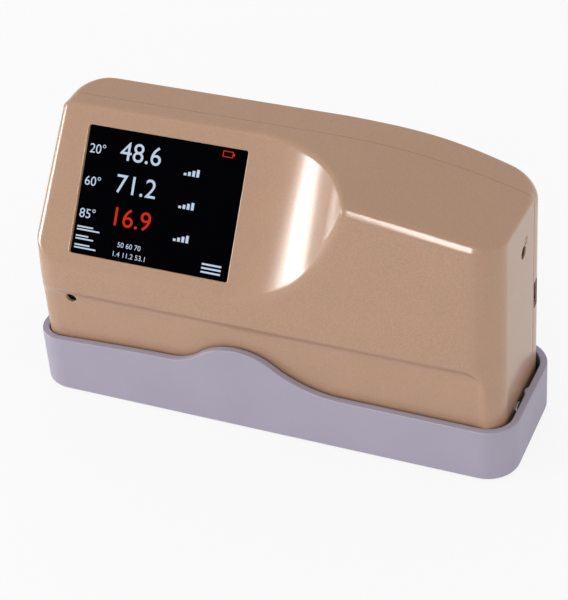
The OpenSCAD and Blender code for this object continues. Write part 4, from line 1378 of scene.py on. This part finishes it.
class OBJECT_OT_meter_finishes(bpy.types.Operator):
    """Give every remaining CAD node its finish"""

    bl_idname = "object.meter_finishes"
    bl_label = "Finishes"

    def execute(self, context):
        steel, black, board = steel_finish(), black_finish(), board_mask()
        sheet = plain_finish("pressed_sheet", (0.50, 0.51, 0.52), 1500.0, (0.34, 0.46), 1.0)
        optics = plain_finish("black_anodised", (0.018, 0.018, 0.020), 4000.0, (0.45, 0.6), 0.4)
        brass = plain_finish("turned_brass", (0.55, 0.38, 0.13), 2600.0, (0.24, 0.36), 1.0)
        base = plain_finish("base_plastic", (0.028, 0.028, 0.030), 2600.0, (0.46, 0.6), bump=0.2)
        tile = plain_finish("black_tile", (0.006, 0.006, 0.007), 300.0, (0.02, 0.05), bump=0.0)
        felt = plain_finish("felt", (0.05, 0.05, 0.052), 5200.0, (0.85, 0.95), bump=0.6, vary=0.3)
        foam = plain_finish("foam", (0.02, 0.02, 0.02), 3800.0, (0.8, 0.95), bump=0.5, vary=0.25)
        film = plain_finish("battery_film", (0.05, 0.15, 0.36), 220.0, (0.2, 0.3))
        lens = clear_finish("ground_glass", (0.88, 0.93, 0.95), (0.01, 0.03), 1.52)
        resin = clear_finish("cast_resin", (0.93, 0.9, 0.74), (0.06, 0.12), 1.5)
        finishes = {
            "calibration_tile": tile,
            "tile_felt": felt,
            "base_plate": base,
            "screen_glass": screen_dark(),
            "screen_gasket": foam,
            "display_panel": sheet,
            "display_bracket": sheet,
            "main_board": board,
            "sensor_board": board,
            "side_board": board,
            "chassis_plate": sheet,
            "standoffs": brass,
            "board_screws": steel,
            "battery_pack": film,
            "power_switch": black,
            "usb_socket": steel,
            "buzzer": black,
            "optical_block": optics,
            "optics_screws": steel,
            "source_lenses": lens,
            "receiver_lenses": lens,
        }
        for turn in ("20", "60", "85"):
            finishes["lamp_" + turn] = resin
            finishes["detector_" + turn] = sheet
        for node, material in finishes.items():
            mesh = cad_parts[node].data
            for index in range(len(mesh.materials)):
                mesh.materials[index] = material
            if not mesh.materials:
                mesh.materials.append(material)
        return {"FINISHED"}


# Stage

# Width of the camera's sensor in millimetres
SENSOR = 36.0

# Floor: half its size, points along a side, and its height in metres, just under the object
FLOOR_HALF = 3.0
FLOOR_POINTS = 13
FLOOR_HEIGHT = -0.0003

# Surround: the direction towards which it dims, and how far along it the dimming begins and ends
DIM_AXIS = (-0.2, 0.45, 0.87)
DIM_FROM, DIM_TO = -0.15, 0.85

# Lamps and gloss cards: place, width, height and whether they give diffuse light, all aimed at one point
LAMP_TARGET = (0.0, 0.0, 0.05)
LAMPS = {
    "upper_lamp": ((-0.36, -0.44, 0.90), 0.60, 0.40, True),
    "left_lamp": ((-0.94, -0.30, 0.17), 0.70, 0.36, True),
    "edge_card": ((-0.02, -0.75, 0.55), 0.15, 1.00, False),
    "side_card": ((-0.95, -0.27, 0.15), 0.46, 0.28, False),
    "core_card": ((-0.955, -0.27, 0.14), 0.17, 0.28, False),
}
WHITE = (1.0, 1.0, 1.0, 1.0)


def aimed(location, target):
    """Turns a place and a target into a matrix that looks along -Z."""
    place = Vector(location)
    turn = (Vector(target) - place).to_track_quat("-Z", "Y").to_matrix().to_4x4()
    return Matrix.Translation(place) @ turn


def soft_lamp(name, power):
    """A soft rectangular lamp, or a card that shows in gloss alone."""
    place, width, height, diffuse = LAMPS[name]
    data = bpy.data.lights.new(name, "AREA")
    data.shape = "RECTANGLE"
    data.size, data.size_y, data.energy = width, height, power
    lamp = bpy.data.objects.new(name, data)
    bpy.context.scene.collection.objects.link(lamp)
    lamp.matrix_world = aimed(place, LAMP_TARGET)
    lamp.visible_diffuse = diffuse


class SCENE_OT_meter_stage(bpy.types.Operator):
    """Make the camera, the pale floor, the white surround and the lamps"""

    bl_idname = "scene.meter_stage"
    bl_label = "Stage"

    def execute(self, context):
        scene, s = context.scene, context.scene.meter_stage
        scene.view_settings.view_transform = "Standard"
        self.camera(scene, s)
        self.floor(scene, s)
        self.surround(scene, s)
        for name in LAMPS:
            soft_lamp(name, getattr(s, name))
        return {"FINISHED"}

    def camera(self, scene, s):
        """Camera at an azimuth, an elevation and a distance from its target, rolled about its axis."""
        data = bpy.data.cameras.new("camera")
        data.sensor_fit = "AUTO"
        data.sensor_width = SENSOR
        data.lens = s.camera_lens
        camera = bpy.data.objects.new("camera", data)
        scene.collection.objects.link(camera)
        a, e, r = s.camera_azimuth, s.camera_height, s.camera_roll
        back = Vector((math.sin(a) * math.cos(e), -math.cos(a) * math.cos(e), math.sin(e)))
        right = Vector((math.cos(a), math.sin(a), 0.0))
        up = back.cross(right)
        turned_right = math.cos(r) * right + math.sin(r) * up
        turned_up = -math.sin(r) * right + math.cos(r) * up
        turn = Matrix((turned_right, turned_up, back)).transposed().to_4x4()
        camera.matrix_world = Matrix.Translation(Vector(s.target) + s.camera_distance * back) @ turn
        scene.camera = camera

    def floor(self, scene, s):
        """Flat floor just under the object."""
        line = np.linspace(-FLOOR_HALF, FLOOR_HALF, FLOOR_POINTS)
        u, v = np.meshgrid(line, line)
        points = np.column_stack([u.ravel(), v.ravel(), np.full(u.size, FLOOR_HEIGHT)])
        floor = bpy.data.objects.new("floor", mesh_from("floor", points, grid_faces(*u.shape)))
        scene.collection.objects.link(floor)
        floor.data.materials.append(self.floor_finish(s))

    def floor_finish(self, s):
        """Pale floor with a barely uneven tone, under a white that the camera sees and mirrors less."""
        material, shader, add = new_finish("pale_floor")
        soft = noise(add, 3.0)
        base = tuple(s.floor)
        set_shader(
            material, shader,
            Base_Color=ramp(add, soft, (0.3, tint(base, 0.995)), (0.7, tint(base, 1.0))),
            Roughness=spread(add, soft, 0.6, 0.7),
        )
        white = add("ShaderNodeEmission", {"Color": WHITE, "Strength": 1.0})
        path = add("ShaderNodeLightPath").outputs
        mirror = add("ShaderNodeMath", {0: path["Is Glossy Ray"], 1: s.floor_mirror}, operation="MULTIPLY")
        seen = add("ShaderNodeMath", {0: path["Is Camera Ray"], 1: mirror.outputs[0]}, operation="MAXIMUM")
        share = add("ShaderNodeMath", {0: seen.outputs[0], 1: s.floor_white}, operation="MULTIPLY")
        layers = {"Fac": share.outputs[0], 1: shader.outputs[0], 2: white.outputs[0]}
        blended = add("ShaderNodeMixShader", layers)
        tree = material.node_tree
        set_inputs(tree, tree.nodes["Material Output"], {"Surface": blended.outputs[0]})
        return material

    def surround(self, scene, s):
        """White for the camera, and for other rays a level that falls from ahead to above and behind.

        Diffuse light has that level times the fill.
        """
        world = bpy.data.worlds.new("surround")
        scene.world = world
        world.use_nodes = True
        tree = world.node_tree
        add = node_maker(tree)
        where = add("ShaderNodeTexCoord").outputs["Generated"]
        facing = add("ShaderNodeVectorMath", {0: where, 1: DIM_AXIS}, operation="DOT_PRODUCT")
        mirrored = add("ShaderNodeMapRange", {
            "Value": facing.outputs["Value"],
            "From Min": DIM_FROM, "From Max": DIM_TO, "To Min": s.ahead, "To Max": s.behind,
        })
        path = add("ShaderNodeLightPath").outputs
        camera = path["Is Camera Ray"]
        seen = camera
        for name in ("Is Glossy Ray", "Is Transmission Ray"):
            seen = add("ShaderNodeMath", {0: seen, 1: path[name]}, operation="MAXIMUM").outputs[0]
        level = add("ShaderNodeMapRange", {"Value": seen, "To Min": s.fill})
        factors = {0: mirrored.outputs["Result"], 1: level.outputs["Result"]}
        scaled = add("ShaderNodeMath", factors, operation="MULTIPLY")
        strength = add("ShaderNodeMath", {0: scaled.outputs[0], 1: camera}, operation="MAXIMUM")
        set_inputs(tree, tree.nodes["Background"], {"Color": WHITE, "Strength": strength.outputs[0]})


class VIEW3D_PT_meter(bpy.types.Panel):
    """Lists the steps that build the gloss meter"""

    bl_label = "Gloss meter"
    bl_idname = "VIEW3D_PT_meter"
    bl_space_type = "VIEW_3D"
    bl_region_type = "UI"
    bl_category = "Gloss meter"

    def draw(self, context):
        for step in STEPS:
            self.layout.operator(step.bl_idname)
        for name in GROUPS:
            box = self.layout.box()
            group = getattr(context.scene, name)
            for key in group.__annotations__:
                box.prop(group, key)


GROUPS = {
    "meter_housing": HousingSizes,
    "meter_holder": HolderSizes,
    "meter_screen": ScreenSizes,
    "meter_openings": OpeningSizes,
    "meter_small": SmallSizes,
    "meter_finish": Finishes,
    "meter_stage": StageSettings,
}
STEPS = (
    SCENE_OT_meter_stage,
    OBJECT_OT_meter_finishes,
    OBJECT_OT_meter_front_shell,
    OBJECT_OT_meter_rear_cover,
    OBJECT_OT_meter_holder,
    OBJECT_OT_meter_readout,
    OBJECT_OT_meter_button,
    OBJECT_OT_meter_screws,
)


def register():
    """Registers the classes and hangs the groups on the scene."""
    for kind in (*GROUPS.values(), *STEPS, VIEW3D_PT_meter):
        bpy.utils.register_class(kind)
    for name, kind in GROUPS.items():
        setattr(bpy.types.Scene, name, bpy.props.PointerProperty(type=kind))


def unregister():
    """Takes the groups off the scene and unregisters the classes."""
    for name in GROUPS:
        delattr(bpy.types.Scene, name)
    for kind in reversed((*GROUPS.values(), *STEPS, VIEW3D_PT_meter)):
        bpy.utils.unregister_class(kind)


def main():
    """Builds every piece in order."""
    register()
    for step in STEPS:
        family, name = step.bl_idname.split(".")
        getattr(getattr(bpy.ops, family), name)()


if __name__ == "__main__":
    main()
